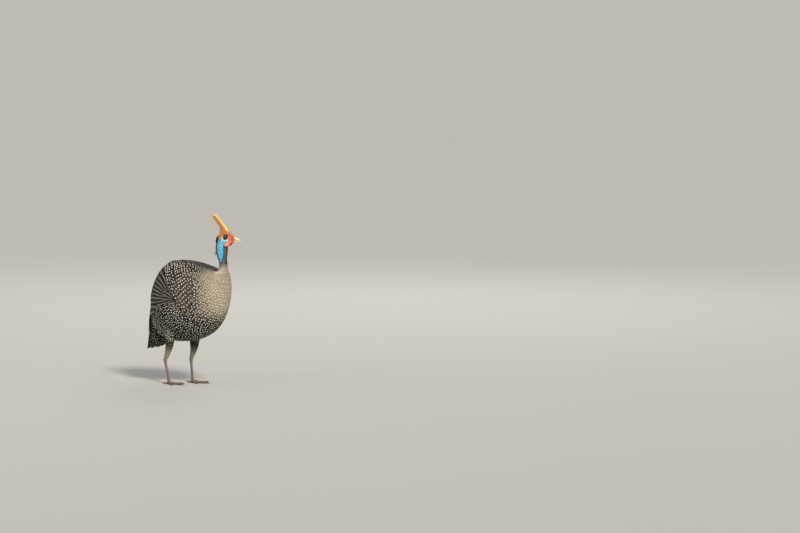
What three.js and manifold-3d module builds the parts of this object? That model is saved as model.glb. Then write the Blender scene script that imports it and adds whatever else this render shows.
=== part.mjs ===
// A standing helmeted guinea fowl at life size, in millimetres.
// +X is the way the body faces, +Y is its left side, +Z is up, and the toes rest at z = 0.
import * as THREE from 'three';
import { mergeVertices } from 'three/addons/utils/BufferGeometryUtils.js';
import Module from 'manifold-3d';

const wasm = await Module();
wasm.setup();

// Driving dimensions
const BODY = { length: 280, depth: 231, half: 77, rump: -138, belly: 120 };
const GAP = 0.3;
const FINEST = 0.02;
const NECK = { x: 124.8, baseTop: 344, throatTop: 392 };
const HEAD = { x: 125.4, z: 409, yaw: 20 };
const EYE = { forward: 12.8, side: 9.6, up: 8.5, radius: 6.2 };
const CASQUE = { half: 7.8, tipHalf: 4.2, saddle: 1.7 };
const WING = { slab: 2.6, vane: 1.1, parting: 3 };
const TAIL = { radius: 36, vane: 1.2 };
const SHANK = 3.7;
const ANKLE = 9.6;
const TOES = { middle: 46, inner: 34, outer: 37, hind: 15, radius: 3.3, claw: 11 };

// Colours
const COLOURS = {
  plumage: 0x2b2a2e,
  mantle: 0x6f685f,
  blueSkin: 0x3f93cf,
  redSkin: 0xc9462f,
  horn: 0xd08a3a,
  bill: 0xe6dcb8,
  eye: 0x1c120c,
  leg: 0x4b3f3a,
  claw: 0x2a2320,
};

// Vectors and curves
const V = (x, y, z) => new THREE.Vector3(x, y, z);
const radians = THREE.MathUtils.degToRad;
const clamp = THREE.MathUtils.clamp;
const lerp = THREE.MathUtils.lerp;
const smooth = (t) => THREE.MathUtils.smoothstep(t, 0, 1);

// Repeatable chance, from 0 to 1, so that every build gives the same bird.
let chance = 20251;
function random() {
  chance = (chance * 48271) % 2147483647;
  return chance / 2147483647;
}

// A smooth curve through rows of up to three numbers, read at t from 0 to 1.
function through(rows) {
  const curve = new THREE.CatmullRomCurve3(rows.map((r) => V(...r)), false, 'centripetal');
  return (t) => curve.getPoint(clamp(t, 0, 1));
}

// Solids
function toSolid(geometry) {
  const bare = geometry.clone();
  bare.deleteAttribute('normal');
  bare.deleteAttribute('uv');
  const merged = mergeVertices(bare, 1e-4);
  const mesh = new wasm.Mesh({
    numProp: 3,
    vertProperties: new Float32Array(merged.attributes.position.array),
    triVerts: new Uint32Array(merged.index.array),
  });
  return new wasm.Manifold(mesh);
}

function toGeometry(solid) {
  const mesh = solid.getMesh();
  const geometry = new THREE.BufferGeometry();
  geometry.setAttribute('position', new THREE.BufferAttribute(mesh.vertProperties, 3));
  geometry.setIndex(new THREE.BufferAttribute(mesh.triVerts, 1));
  geometry.computeVertexNormals();
  return geometry;
}

const largest = (solid) =>
  solid.decompose().reduce((best, body) => (body.volume() > best.volume() ? body : best));

const joined = (solids) => solids.reduce((sum, solid) => sum.add(solid));

// A closed solid through rings of points, each ring closed and all of one length.
// A ring may be one point, which makes an apex, and an end ring is closed by a fan.
function loft(rings) {
  const count = Math.max(...rings.map((r) => r.length));
  const positions = [];
  const index = [];
  const start = rings.map((ring) => {
    const first = positions.length / 3;
    ring.forEach((p) => positions.push(p.x, p.y, p.z));
    return first;
  });
  const at = (k, j) => start[k] + (rings[k].length === 1 ? 0 : j % count);
  for (let k = 0; k + 1 < rings.length; k += 1) {
    for (let j = 0; j < count; j += 1) {
      const [a, b, c, d] = [at(k, j), at(k, j + 1), at(k + 1, j + 1), at(k + 1, j)];
      if (a !== b) index.push(a, b, c);
      if (c !== d) index.push(a, c, d);
    }
  }
  [0, rings.length - 1].forEach((k) => {
    if (rings[k].length === 1) return;
    const middle = positions.length / 3;
    const centre = rings[k].reduce((s, p) => s.add(p), V(0, 0, 0)).divideScalar(count);
    positions.push(centre.x, centre.y, centre.z);
    for (let j = 0; j < count; j += 1) {
      if (k === 0) index.push(middle, at(k, j + 1), at(k, j));
      else index.push(middle, at(k, j), at(k, j + 1));
    }
  });
  const geometry = new THREE.BufferGeometry();
  geometry.setAttribute('position', new THREE.Float32BufferAttribute(positions, 3));
  geometry.setIndex(index);
  const solid = toSolid(geometry);
  if (solid.volume() > 0) return solid;
  for (let i = 0; i < index.length; i += 3) [index[i], index[i + 1]] = [index[i + 1], index[i]];
  geometry.setIndex(index);
  return toSolid(geometry);
}

// A round ring in the plane of the two half axes a and b.
function ring(centre, a, b, sides) {
  return Array.from({ length: sides }, (_, j) => {
    const angle = (2 * Math.PI * j) / sides;
    return centre.clone().addScaledVector(a, Math.cos(angle)).addScaledVector(b, Math.sin(angle));
  });
}

// A tube through stations { at, half: [across, along], turn }, its rings square to the path.
// turn is the direction of the first half axis.
function limb(stations, sides, across) {
  const rings = stations.map((s, k) => {
    const before = stations[Math.max(k - 1, 0)].at;
    const after = stations[Math.min(k + 1, stations.length - 1)].at;
    const along = after.clone().sub(before).normalize();
    const b = V(0, 0, 0).crossVectors(along, across).normalize();
    const a = V(0, 0, 0).crossVectors(b, along).normalize();
    return ring(s.at, a.multiplyScalar(s.half[0]), b.multiplyScalar(s.half[1]), sides);
  });
  return loft(rings);
}

// Body: sections run from the neck to the tail, each from a point of the back to a point of the
// breast. Rows are shares of the body's length and depth, then a share of its half width.
const BACK = [
  [0.882, 0.862, 0.21], [0.812, 0.9, 0.41], [0.707, 0.943, 0.61], [0.582, 0.978, 0.78],
  [0.439, 0.985, 0.9], [0.305, 0.962, 0.94], [0.2, 0.885, 0.92], [0.125, 0.77, 0.84],
  [0.076, 0.63, 0.72], [0.052, 0.475, 0.55], [0.038, 0.33, 0.37],
];
const BREAST = [
  [0.988, 0.918, 0], [0.99, 0.83, 0], [0.99, 0.727, 0], [0.982, 0.59, 0],
  [0.958, 0.426, 0], [0.91, 0.274, 0], [0.816, 0.138, 0], [0.665, 0.043, 0],
  [0.49, 0.004, 0], [0.31, 0.0, 0], [0.165, 0.045, 0],
];
const backCurve = through(BACK);
const breastCurve = through(BREAST);
const bodyX = (share) => BODY.rump + share * BODY.length;
const bodyZ = (share) => BODY.belly + share * BODY.depth;

// The flat face on which the neck stands: its middle, its slope and the way out of the body.
const faceRise = bodyZ(BREAST[0][1]) - bodyZ(BACK[0][1]);
const faceRun = bodyX(BREAST[0][0]) - bodyX(BACK[0][0]);
const faceSlope = Math.atan2(faceRise, faceRun);
const NECK_FACE = {
  middle: V(bodyX(BACK[0][0]) + faceRun / 2, 0, bodyZ(BACK[0][1]) + faceRise / 2),
  slope: faceSlope,
  out: V(-Math.sin(faceSlope), 0, Math.cos(faceSlope)),
};

// A point of the body's skin: u from the neck to the tail, angle from the back, right side positive.
function bodyPoint(u, angle) {
  const back = backCurve(u);
  const breast = breastCurve(u);
  const top = V(bodyX(back.x), 0, bodyZ(back.y));
  const bottom = V(bodyX(breast.x), 0, bodyZ(breast.y));
  const side = back.z * BODY.half * (1 - 0.08 * Math.cos(angle));
  const centre = top.clone().add(bottom).multiplyScalar(0.5);
  const reach = top.sub(bottom).multiplyScalar(0.5);
  return centre.addScaledVector(reach, Math.cos(angle)).add(V(0, -side * Math.sin(angle), 0));
}

function bodyNormal(u, angle) {
  const step = 1e-3;
  const along = bodyPoint(Math.min(u + step, 1), angle).sub(bodyPoint(Math.max(u - step, 0), angle));
  const round = bodyPoint(u, angle + step).sub(bodyPoint(u, angle - step));
  return along.cross(round).normalize();
}

// A point at a height over the body's skin.
const over = (u, angle, height) => bodyPoint(u, angle).addScaledVector(bodyNormal(u, angle), height);

const BODY_STATIONS = 22;
const BODY_SIDES = 28;

// The body, grown by a clearance where another node is cut by it.
function bodySolid(grow = 0) {
  const rings = [];
  for (let k = 0; k <= BODY_STATIONS; k += 1) {
    const u = k / BODY_STATIONS;
    const angles = Array.from({ length: BODY_SIDES }, (_, j) => (2 * Math.PI * j) / BODY_SIDES);
    const row = angles.map((angle) => over(u, angle, grow));
    rings.push(k === 0 ? row.map((p) => p.addScaledVector(NECK_FACE.out, grow)) : row);
  }
  // The rump is closed by two smaller rings that bulge towards the tail.
  const last = rings[rings.length - 1];
  const centre = last.reduce((s, p) => s.add(p), V(0, 0, 0)).divideScalar(last.length);
  const out = V(-0.93, 0, -0.36);
  [[0.82, 7], [0.45, 12]].forEach(([share, bulge]) => {
    rings.push(last.map((p) => centre.clone().lerp(p, share).addScaledVector(out, bulge + grow)));
  });
  return loft(rings);
}

// Neck: from the body's first section up to the head, as one curve of centres and half sizes.
const NECK_ROWS = [
  { at: V(124, 0, 308), half: [18, 21] },
  { at: V(127.2, 0, 326), half: [15.4, 17.0] },
  { at: V(128.6, 0, 340), half: [11.2, 12.2] },
  { at: V(127.4, 0, 350), half: [10.6, 11.8] },
  { at: V(124.8, 0, 362), half: [11.6, 14.2] },
  { at: V(123.8, 0, 375), half: [12.8, 17.4] },
  { at: V(123.7, 0, 390), half: [13.8, 19.0] },
  { at: V(124.6, 0, 402), half: [13.8, 19.2] },
];

function neckSolid() {
  const centre = through(NECK_ROWS.map((r) => r.at.toArray()));
  const halves = through(NECK_ROWS.map((r) => [...r.half, 0]));
  const rings = [];
  const steps = 13;
  for (let k = 0; k <= steps; k += 1) {
    const t = k / steps;
    const half = halves(t);
    rings.push(ring(centre(t), V(0, half.x, 0), V(half.y, 0, 0), 18));
  }
  return loft(rings);
}

// Half spaces as large boxes, for thin cuts.
function boxSolid(size, centre, tilt = 0) {
  const geometry = new THREE.BoxGeometry(...size);
  geometry.rotateY(tilt);
  geometry.translate(centre.x, centre.y, centre.z);
  return toSolid(geometry);
}

// Head, in its own frame: x forward from the neck's axis, z up from the jaw's hinge line.
const HEAD_ROWS = [
  { x: -18.5, top: 2, bottom: -10, half: 3.5 },
  { x: -15.5, top: 9.5, bottom: -17, half: 8.5 },
  { x: -9, top: 15.5, bottom: -20, half: 12.6 },
  { x: 0, top: 19.5, bottom: -20, half: 14.6 },
  { x: 10, top: 20.5, bottom: -17.5, half: 14.4 },
  { x: 19, top: 19, bottom: -13.5, half: 11.4 },
  { x: 27, top: 16.2, bottom: -8.6, half: 8.4 },
  { x: 32.5, top: 13.8, bottom: -5.0, half: 6.8 },
];

function headSolid(grow = 0) {
  const steps = 15;
  const curve = through(HEAD_ROWS.map((r) => [r.x, r.top, r.bottom]));
  const halves = through(HEAD_ROWS.map((r) => [r.half, 0, 0]));
  const rings = [];
  for (let k = 0; k <= steps; k += 1) {
    const p = curve(k / steps);
    const half = halves(k / steps).x;
    const end = k === 0 ? -grow : 0;
    const middle = V(p.x + end, 0, (p.y + p.z) / 2);
    rings.push(ring(middle, V(0, 0, (p.y - p.z) / 2 + grow), V(0, half + grow, 0), 20));
  }
  return loft(rings);
}

function sphere(centre, radius, columns = 12, rows = 8) {
  const geometry = new THREE.SphereGeometry(radius, columns, rows);
  geometry.rotateX(Math.PI / 2);
  geometry.translate(centre.x, centre.y, centre.z);
  return toSolid(geometry);
}

const eyeCentre = (side) => V(EYE.forward, side * EYE.side, EYE.up);

// The lid is a low ring round the eye, and the ear a shallow cup behind the cheek.
function lidSolid(side, grow = 0) {
  const geometry = new THREE.TorusGeometry(5.6, 1.3 + grow, 5, 14);
  geometry.rotateX(Math.PI / 2);
  geometry.rotateZ(side * radians(-12));
  const centre = eyeCentre(side);
  geometry.translate(centre.x, centre.y + side * 3.6, centre.z);
  return toSolid(geometry);
}

function nostrilCut(side) {
  const geometry = new THREE.SphereGeometry(1, 8, 6);
  geometry.scale(2.6, 1.3, 1.2);
  geometry.rotateY(radians(25));
  geometry.translate(30, side * 6.8, 7.2);
  return toSolid(geometry);
}

// Bill: both halves are lofts from the face to the tip, the upper one hooked over the lower.
function billRings(rows, sides) {
  return rows.map(([x, top, bottom, half]) =>
    ring(V(x, 0, (top + bottom) / 2), V(0, 0, (top - bottom) / 2), V(0, half, 0), sides));
}

const UPPER_BILL = [
  [32.8, 13.4, 1.4, 6.4], [37, 11.8, 1.2, 5.3], [42, 9.2, 0.8, 4.1],
  [46.5, 6.3, 0.2, 3.0], [50.5, 3.0, -0.9, 1.8], [53.4, -0.4, -2.4, 0.7],
];
const LOWER_BILL = [
  [32.8, 1.0, -4.8, 5.6], [37, 0.8, -4.5, 4.6], [42, 0.4, -3.9, 3.5], [46.5, -0.2, -3.1, 2.3],
  [49.6, -1.2, -2.6, 1.2],
];

// Casque: a flat horn over the crown that leans back to a blunt tip.
const CASQUE_FRONT = [
  [25, 15, 0], [20.5, 26.4, 0], [10.1, 38.3, 0],
  [-0.3, 51.2, 0], [-10.7, 63.1, 0], [-18, 70, 0],
];
const CASQUE_REAR = [
  [-9, 12, 0], [-7.3, 24, 0], [-8.9, 35, 0],
  [-15.5, 45.2, 0], [-25, 55.6, 0], [-30, 64.5, 0],
];

function hornSolid() {
  const front = through(CASQUE_FRONT);
  const rear = through(CASQUE_REAR);
  const rings = [];
  const steps = 11;
  for (let k = 0; k <= steps; k += 1) {
    const t = k / steps;
    const a = front(t);
    const b = rear(t);
    const half = lerp(CASQUE.half, CASQUE.tipHalf, smooth(t * 1.6));
    const centre = V((a.x + b.x) / 2, 0, (a.y + b.y) / 2);
    rings.push(ring(centre, V((a.x - b.x) / 2, 0, (a.y - b.y) / 2), V(0, half, 0), 14));
  }
  // The tip closes over a low dome.
  const last = rings[rings.length - 1];
  const centre = last.reduce((s, p) => s.add(p), V(0, 0, 0)).divideScalar(last.length);
  const up = V(-0.6, 0, 0.8);
  rings.push(last.map((p) => centre.clone().lerp(p, 0.74).addScaledVector(up, 3.0)));
  rings.push([centre.clone().addScaledVector(up, 4.3)]);
  return loft(rings);
}

// The saddle at the horn's foot lies over the crown, with a lappet down behind each eye.
const SADDLE = [
  [26, 14], [22, 32], [-13, 32], [-14.5, 13], [-8, 7.5], [-4, 2],
  [-0.5, 1], [2, 4.5], [1.5, 11], [7, 17.2], [16, 17.5],
];

function casqueSolid() {
  const outline = new THREE.Shape(SADDLE.map(([x, z]) => new THREE.Vector2(x, z)));
  const geometry = new THREE.ExtrudeGeometry(outline, { depth: 44, bevelEnabled: false });
  geometry.rotateX(Math.PI / 2);
  geometry.translate(0, 22, 0);
  const saddle = headSolid(CASQUE.saddle).intersect(toSolid(geometry));
  return hornSolid().add(saddle).subtract(headSolid(GAP));
}

// Wattle: a lobe from the gape, hanging back and out from the cheek.
function wattleSolid(side) {
  const rows = [
    [29.5, 7.6, -2.4, 1.4, 2.4], [25, 10.4, -5.4, 1.6, 4.2], [20, 12.9, -9.0, 1.6, 6.0],
    [15.5, 14.8, -10.6, 1.6, 6.0], [11.5, 16.6, -10.6, 1.4, 4.6], [8.8, 17.6, -10.2, 1.0, 2.2],
  ];
  const tilt = V(0, -side * 0.34, 0.94);
  const outward = V(0.42, side * 0.94, 0.3);
  const rings = rows.map(([x, y, z, thick, tall]) => {
    const up = tilt.clone().multiplyScalar(tall);
    return ring(V(x, side * y, z), up, outward.clone().multiplyScalar(thick), 10);
  });
  return loft(rings);
}

// Every head piece is turned with the head and set on the neck.
function onHead(solid) {
  return solid.rotate([0, 0, HEAD.yaw]).translate([HEAD.x, 0, HEAD.z]);
}

// A feather vane: a thin curved strip along a path, its root at full depth and its tip rounded.
// frame(t, across) gives the point of its middle surface, for across from -1 to 1.
function vane(frame, thickness, segments = 4) {
  const rings = [];
  for (let k = 0; k <= segments; k += 1) {
    const t = (k / segments) ** 0.8;
    const outer = [-1, 0, 1].map((s) => frame(t, s, thickness / 2));
    const inner = [1, 0, -1].map((s) => frame(t, s, -thickness / 2));
    rings.push([...outer, ...inner]);
  }
  return loft(rings);
}

// The outline of a vane: broad, with a rounded tip.
function vaneWidth(t) {
  if (t < 0.7) return lerp(0.8, 1, smooth(t / 0.7));
  return Math.sqrt(Math.max(1 - ((t - 0.7) / 0.33) ** 2, 0.16));
}

// Wing: its upper and lower edges are angles round the body, in degrees, along the body.
const WING_EDGES = [
  [0.2, 34, 60], [0.28, 22, 84], [0.38, 15, 103], [0.5, 11, 112], [0.62, 9, 108],
  [0.72, 8, 97], [0.8, 8, 84], [0.87, 10, 66], [0.94, 14, 48],
];
const wingCurve = through(WING_EDGES);

// The angle of a share of the wing's breadth, at u along the body.
function wingAngle(u, share) {
  let low = 0;
  let high = 1;
  for (let i = 0; i < 24; i += 1) {
    const middle = (low + high) / 2;
    if (wingCurve(middle).x < u) low = middle;
    else high = middle;
  }
  const edges = wingCurve(low);
  return radians(lerp(edges.y, edges.z, share));
}

// A point over the wing's bed, and moved sideways by a distance in millimetres.
function wingPoint(mirror, u, share, aside, height) {
  const angle = wingAngle(u, share);
  const size = bodyPoint(u, angle + 0.05).distanceTo(bodyPoint(u, angle - 0.05)) / 0.1;
  const room = Math.max(angle - WING.parting / size, 0.01);
  return over(u, mirror * (angle + Math.max(aside / size, -room)), height);
}

// The wing's plate, thick inside the body's line so that the cut leaves it whole.
function wingPlate(mirror) {
  const rings = [];
  const steps = 9;
  const columns = 7;
  for (let k = 0; k <= steps; k += 1) {
    const u = lerp(0.215, 0.84, k / steps);
    const row = (height) => Array.from({ length: columns + 1 }, (_, j) => {
      const share = j / columns;
      const edge = j === 0 || j === columns || k === 0 ? 0.9 : 1;
      return wingPoint(mirror, u, share, 0, height > 0 ? height * edge : height);
    });
    rings.push([...row(WING.slab), ...row(-1.5).reverse()]);
  }
  return loft(rings);
}

// Tiers of the wing, each from its longest feathers: start and end along the body, number of
// vanes, half width, and the height of root and tip over the body.
const WING_TIERS = [
  { name: 'flight', start: 0.64, end: 0.925, count: 7, half: 14.0, low: 2.2, high: 3.4, pieces: 3 },
  { name: 'greater', start: 0.53, end: 0.745, count: 6, half: 15.0, low: 2.4, high: 4.3, pieces: 2 },
  { name: 'median', start: 0.42, end: 0.6, count: 5, half: 16.5, low: 2.4, high: 4.4, pieces: 2 },
  { name: 'lesser', start: 0.29, end: 0.46, count: 4, half: 16.0, low: 2.0, high: 4.2, pieces: 2 },
];

function wingVane(mirror, tier, share) {
  const start = tier.start + 0.012 * random();
  const end = tier.end - 0.03 * share - (tier.name === 'flight' ? 0.035 * share : 0) - 0.012 * random();
  const raised = 0.3 * random();
  const half = tier.half * (1 + 0.05 * random());
  const frame = (t, across, offset) => {
    const u = lerp(start, end, t);
    const height = lerp(tier.low, tier.high, smooth(t)) + offset + 0.5 * across + raised;
    return wingPoint(mirror, u, share, across * half * vaneWidth(t), height);
  };
  return vane(frame, WING.vane, tier.pieces);
}

function wingSolid(mirror) {
  const pieces = [wingPlate(mirror)];
  WING_TIERS.forEach((tier) => {
    for (let i = 0; i < tier.count; i += 1) {
      pieces.push(wingVane(mirror, tier, lerp(0.07, 0.93, i / (tier.count - 1))));
    }
  });
  return joined(pieces);
}

// Tail: vanes hang from a root behind the rump, in a roof that is highest on the midline.
const tailRoot = V(bodyX(0.045), 0, bodyZ(0.34));
const tailTip = V(bodyX(0.004), 0, bodyZ(-0.08));

function tailVane({ spread, start, end, lift, halfWidth }) {
  const along = tailTip.clone().sub(tailRoot);
  const outward = V(-along.z, 0, along.x).normalize();
  if (outward.x > 0) outward.negate();
  const angle = radians(spread);
  const frame = (t, across, offset) => {
    const s = lerp(start, end, t);
    const fan = lerp(0.55, 1, clamp(s, 0, 1));
    const turn = angle * fan + (across * halfWidth * vaneWidth(t)) / 44;
    const radius = TAIL.radius + lift * smooth(t) + offset;
    const point = tailRoot.clone().addScaledVector(along, s);
    point.addScaledVector(outward, radius * Math.cos(turn) - TAIL.radius);
    point.y += radius * 1.08 * Math.sin(turn);
    return point;
  };
  return vane(frame, TAIL.vane, 3);
}

function tailCore() {
  const along = tailTip.clone().sub(tailRoot);
  const stations = [-0.18, 0.05, 0.3, 0.55].map((s, k) => ({
    at: tailRoot.clone().addScaledVector(along, s).add(V([14, 15, 17, 18][k], 0, 0)),
    half: [[24, 15], [27, 15], [24, 12], [14, 6]][k],
  }));
  return limb(stations, 14, V(0, 1, 0));
}

const TAIL_TIERS = [
  { count: 11, spread: 66, start: 0.1, end: 1, lift: -1, halfWidth: 9 },
  { count: 7, spread: 54, start: -0.05, end: 0.66, lift: 2.0, halfWidth: 10 },
  { count: 5, spread: 42, start: -0.2, end: 0.36, lift: 3.2, halfWidth: 10 },
];

function tailSolid() {
  const pieces = [tailCore()];
  TAIL_TIERS.forEach((tier, level) => {
    for (let i = 0; i < tier.count; i += 1) {
      const share = (2 * i) / (tier.count - 1) - 1;
      const stagger = i % 2 ? -0.5 : 0.5;
      pieces.push(tailVane({
        spread: tier.spread * share,
        start: tier.start,
        end: tier.end - 0.1 * Math.abs(share) - 0.02 * random(),
        lift: tier.lift + stagger + 0.2 * random(),
        halfWidth: tier.halfWidth * (1 + 0.05 * random()),
      }));
    }
  });
  return joined(pieces);
}

// Legs: the hock, the foot's joint and the toes of each side.
const LEGS = [
  {
    name: 'left', side: 1, bulk: 1,
    thigh: V(-8, 35, 132), hock: V(-20, 35, 66), foot: V(-15, 35, 8),
  },
  {
    name: 'right', side: -1, bulk: 0.86,
    thigh: V(-38, -35, 134), hock: V(-56, -35, 67), foot: V(-40, -37, 8),
  },
];

function thighSolid(leg) {
  const shares = [0, 0.22, 0.48, 0.72, 0.9, 1.0];
  const halves = [16, 14, 11, 8, 6, 5.2].map((half, k) => half * lerp(leg.bulk, 1, shares[k]));
  const bend = V(5, 0, 0);
  const stations = shares.map((s, k) => ({
    at: leg.thigh.clone().lerp(leg.hock, s).addScaledVector(bend, Math.sin(Math.PI * s)),
    half: [halves[k] * 0.9, halves[k]],
  }));
  return limb(stations, 14, V(0, 1, 0));
}

// The shank has stepped rings in front, as its row of scutes.
function shankSolid(leg) {
  const steps = 16;
  const stations = [];
  for (let k = 0; k <= steps; k += 1) {
    const t = k / steps;
    const swell = 1.5 * Math.exp(-((t / 0.1) ** 2)) + 0.9 * Math.exp(-(((1 - t) / 0.12) ** 2));
    const scute = k % 2 ? 0.25 : 0;
    stations.push({
      at: leg.hock.clone().lerp(leg.foot, t),
      half: [SHANK * 0.82 + swell + scute, SHANK + swell + scute],
    });
  }
  return limb(stations, 10, V(0, 1, 0));
}

// Toes, each from the foot's joint to the claw: its turn from straight ahead and its length.
const TOE_ROWS = [
  { name: 'middle', turn: 0, length: TOES.middle },
  { name: 'inner', turn: -34, length: TOES.inner },
  { name: 'outer', turn: 33, length: TOES.outer },
  { name: 'hind', turn: 172, length: TOES.hind },
];

function toeFrame(leg, toe) {
  const turn = radians(toe.turn * leg.side + leg.side * 4);
  return V(Math.cos(turn), Math.sin(turn), 0);
}

function toeSolid(leg, toe) {
  const way = toeFrame(leg, toe);
  const hind = toe.name === 'hind';
  const shares = [0, 0.2, 0.38, 0.52, 0.75, 1];
  const pads = [1.15, 0.86, 1.02, 0.84, 0.98, 0.78];
  const stations = shares.map((s, k) => {
    const radius = TOES.radius * pads[k] * (hind ? 0.8 : 1);
    const rise = lerp(hind ? 5.5 : 4.0, 0, smooth(s / 0.55));
    const root = V(leg.foot.x, leg.foot.y, radius * 0.82 + rise);
    return { at: root.addScaledVector(way, s * toe.length), half: [radius, radius] };
  });
  return limb(stations, 8, V(-way.y, way.x, 0));
}

const FLOOR = boxSolid([400, 400, 60], V(0, 0, -30));

function footSolid(leg) {
  const ball = sphere(V(leg.foot.x, leg.foot.y, 5.4), 5.6, 12, 8);
  const toes = TOE_ROWS.map((toe) => toeSolid(leg, toe));
  return joined([ball, ...toes]);
}

function clawSolid(leg, toe) {
  const way = toeFrame(leg, toe);
  const root = V(leg.foot.x, leg.foot.y, 0).addScaledVector(way, toe.length + 2 * GAP);
  const length = toe.name === 'hind' ? TOES.claw * 0.7 : TOES.claw;
  const rows = [[0, 2.7, 2.0], [0.3, 3.1, 1.8], [0.65, 2.4, 1.2], [1, 1.0, 0.5]];
  const stations = rows.map(([s, height, half]) => ({
    at: root.clone().addScaledVector(way, s * length).add(V(0, 0, height)),
    half: [half * 0.85, half],
  }));
  return limb(stations, 8, V(-way.y, way.x, 0));
}

// The whole bird
const bird = new THREE.Group();

function add(name, solid, colour, roughness = 0.85) {
  const material = new THREE.MeshStandardMaterial({ color: colour, roughness, metalness: 0 });
  const whole = largest(solid).asOriginal().simplify(FINEST);
  const mesh = new THREE.Mesh(toGeometry(whole), material);
  mesh.name = name;
  bird.add(mesh);
}

const body = bodySolid();
const bodyGrown = bodySolid(GAP);
const thighs = LEGS.map(thighSolid);
add('torso', body, COLOURS.plumage);

// The neck is made whole and parted by thin level cuts.
const neck = neckSolid();
const slice = (low, high) => boxSolid([200, 200, high - low], V(NECK.x, 0, (low + high) / 2));
const abovePlace = NECK_FACE.middle.clone().addScaledVector(NECK_FACE.out, 50 + GAP);
const aboveFace = boxSolid([200, 200, 100], abovePlace, -NECK_FACE.slope);
const neckBase = neck.intersect(slice(300, NECK.baseTop)).intersect(aboveFace);
add('neck_feathered', neckBase.subtract(bodyGrown), COLOURS.mantle);
add('neck_bare', neck.intersect(slice(NECK.baseTop + GAP, NECK.throatTop)), COLOURS.blueSkin, 0.6);

const headCut = boxSolid([200, 200, 100], V(NECK.x, 0, NECK.throatTop + GAP + 50));
const headWhole = onHead(headSolid()).intersect(headCut);
const headGrown = onHead(headSolid(GAP));
const sockets = [1, -1].map((side) => onHead(sphere(eyeCentre(side), EYE.radius + GAP, 14, 10)));
const lids = [1, -1].map((side) => onHead(lidSolid(side)));
const nostrils = [1, -1].map((side) => onHead(nostrilCut(side)));
const ears = [1, -1].map((side) => onHead(sphere(V(-3.5, side * 16.2, 0.5), 3.2, 10, 8)));
const wattles = [1, -1].map((side) => onHead(wattleSolid(side)));
const casque = onHead(casqueSolid());
const head = joined([headWhole, ...lids]).intersect(headCut);
const gape = onHead(boxSolid([8, 40, 0.8], V(30, 0, 1.2), radians(3)));
const headDone = [...sockets, ...nostrils, ...ears, gape]
  .reduce((left, cut) => left.subtract(cut), head);
add('head', headDone, COLOURS.redSkin, 0.6);
const lidsGrown = [1, -1].map((side) => onHead(lidSolid(side, GAP)));
const casqueDone = [...sockets, ...lidsGrown].reduce((left, cut) => left.subtract(cut), casque);
add('casque', casqueDone, COLOURS.horn, 0.5);
[['left', 0], ['right', 1]].forEach(([name, i]) => {
  add(`eye_${name}`, onHead(sphere(eyeCentre(i ? -1 : 1), EYE.radius, 14, 10)), COLOURS.eye, 0.1);
  add(`wattle_${name}`, wattles[i].subtract(headGrown), COLOURS.redSkin, 0.6);
});
add('bill_upper', onHead(loft(billRings(UPPER_BILL, 12))), COLOURS.bill, 0.4);
add('bill_lower', onHead(loft(billRings(LOWER_BILL, 12))), COLOURS.bill, 0.4);

const wings = [-1, 1].map((mirror) => wingSolid(mirror).subtract(bodyGrown));
add('wing_left', wings[0], COLOURS.plumage);
add('wing_right', wings[1], COLOURS.plumage);
add('tail', tailSolid().subtract(bodyGrown), COLOURS.plumage);

LEGS.forEach((leg, i) => {
  const ankle = boxSolid([60, 60, 2 * leg.hock.z], V(leg.hock.x, leg.hock.y, 0));
  add(`thigh_${leg.name}`, thighs[i].subtract(bodyGrown).subtract(ankle), COLOURS.mantle);
  const shankTop = boxSolid([60, 60, 60], V(leg.hock.x, leg.hock.y, leg.hock.z - GAP + 30));
  const aboveFoot = (gap) => boxSolid([60, 60, 60], V(leg.foot.x, leg.foot.y, ANKLE + gap + 30));
  const shank = shankSolid(leg).subtract(shankTop).intersect(aboveFoot(GAP));
  add(`shank_${leg.name}`, shank, COLOURS.leg, 0.6);
  const foot = footSolid(leg).subtract(FLOOR).subtract(aboveFoot(0));
  add(`foot_${leg.name}`, foot, COLOURS.leg, 0.6);
  TOE_ROWS.forEach((toe) => {
    add(`claw_${leg.name}_${toe.name}`, clawSolid(leg, toe), COLOURS.claw, 0.4);
  });
});

// The origin is under the middle of the bird's box, on the floor.
const box = new THREE.Box3().setFromObject(bird, true);
bird.position.set(-(box.min.x + box.max.x) / 2, -(box.min.y + box.max.y) / 2, -box.min.z);

export default bird;
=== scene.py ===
import math
import bpy
import numpy as np
from mathutils import Matrix, Vector


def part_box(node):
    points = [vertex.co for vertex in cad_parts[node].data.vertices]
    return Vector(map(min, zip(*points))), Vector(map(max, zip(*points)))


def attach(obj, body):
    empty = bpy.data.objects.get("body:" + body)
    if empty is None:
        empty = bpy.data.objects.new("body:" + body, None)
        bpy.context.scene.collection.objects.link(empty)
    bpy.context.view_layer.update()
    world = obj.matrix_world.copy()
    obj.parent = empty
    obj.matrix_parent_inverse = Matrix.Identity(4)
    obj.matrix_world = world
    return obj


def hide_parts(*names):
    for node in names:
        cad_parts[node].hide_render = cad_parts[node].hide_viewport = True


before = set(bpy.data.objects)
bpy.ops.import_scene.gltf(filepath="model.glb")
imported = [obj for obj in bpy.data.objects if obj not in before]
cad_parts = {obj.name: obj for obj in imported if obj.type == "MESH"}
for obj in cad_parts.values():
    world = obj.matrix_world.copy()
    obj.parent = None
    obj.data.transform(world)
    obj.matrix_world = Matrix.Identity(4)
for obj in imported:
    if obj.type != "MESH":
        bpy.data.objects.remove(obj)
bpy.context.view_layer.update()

# The part's own shape, in millimetres before its origin was set under the middle of its box.
BODY = {"length": 280.0, "depth": 231.0, "half": 77.0, "rump": -138.0, "belly": 120.0}
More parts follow.
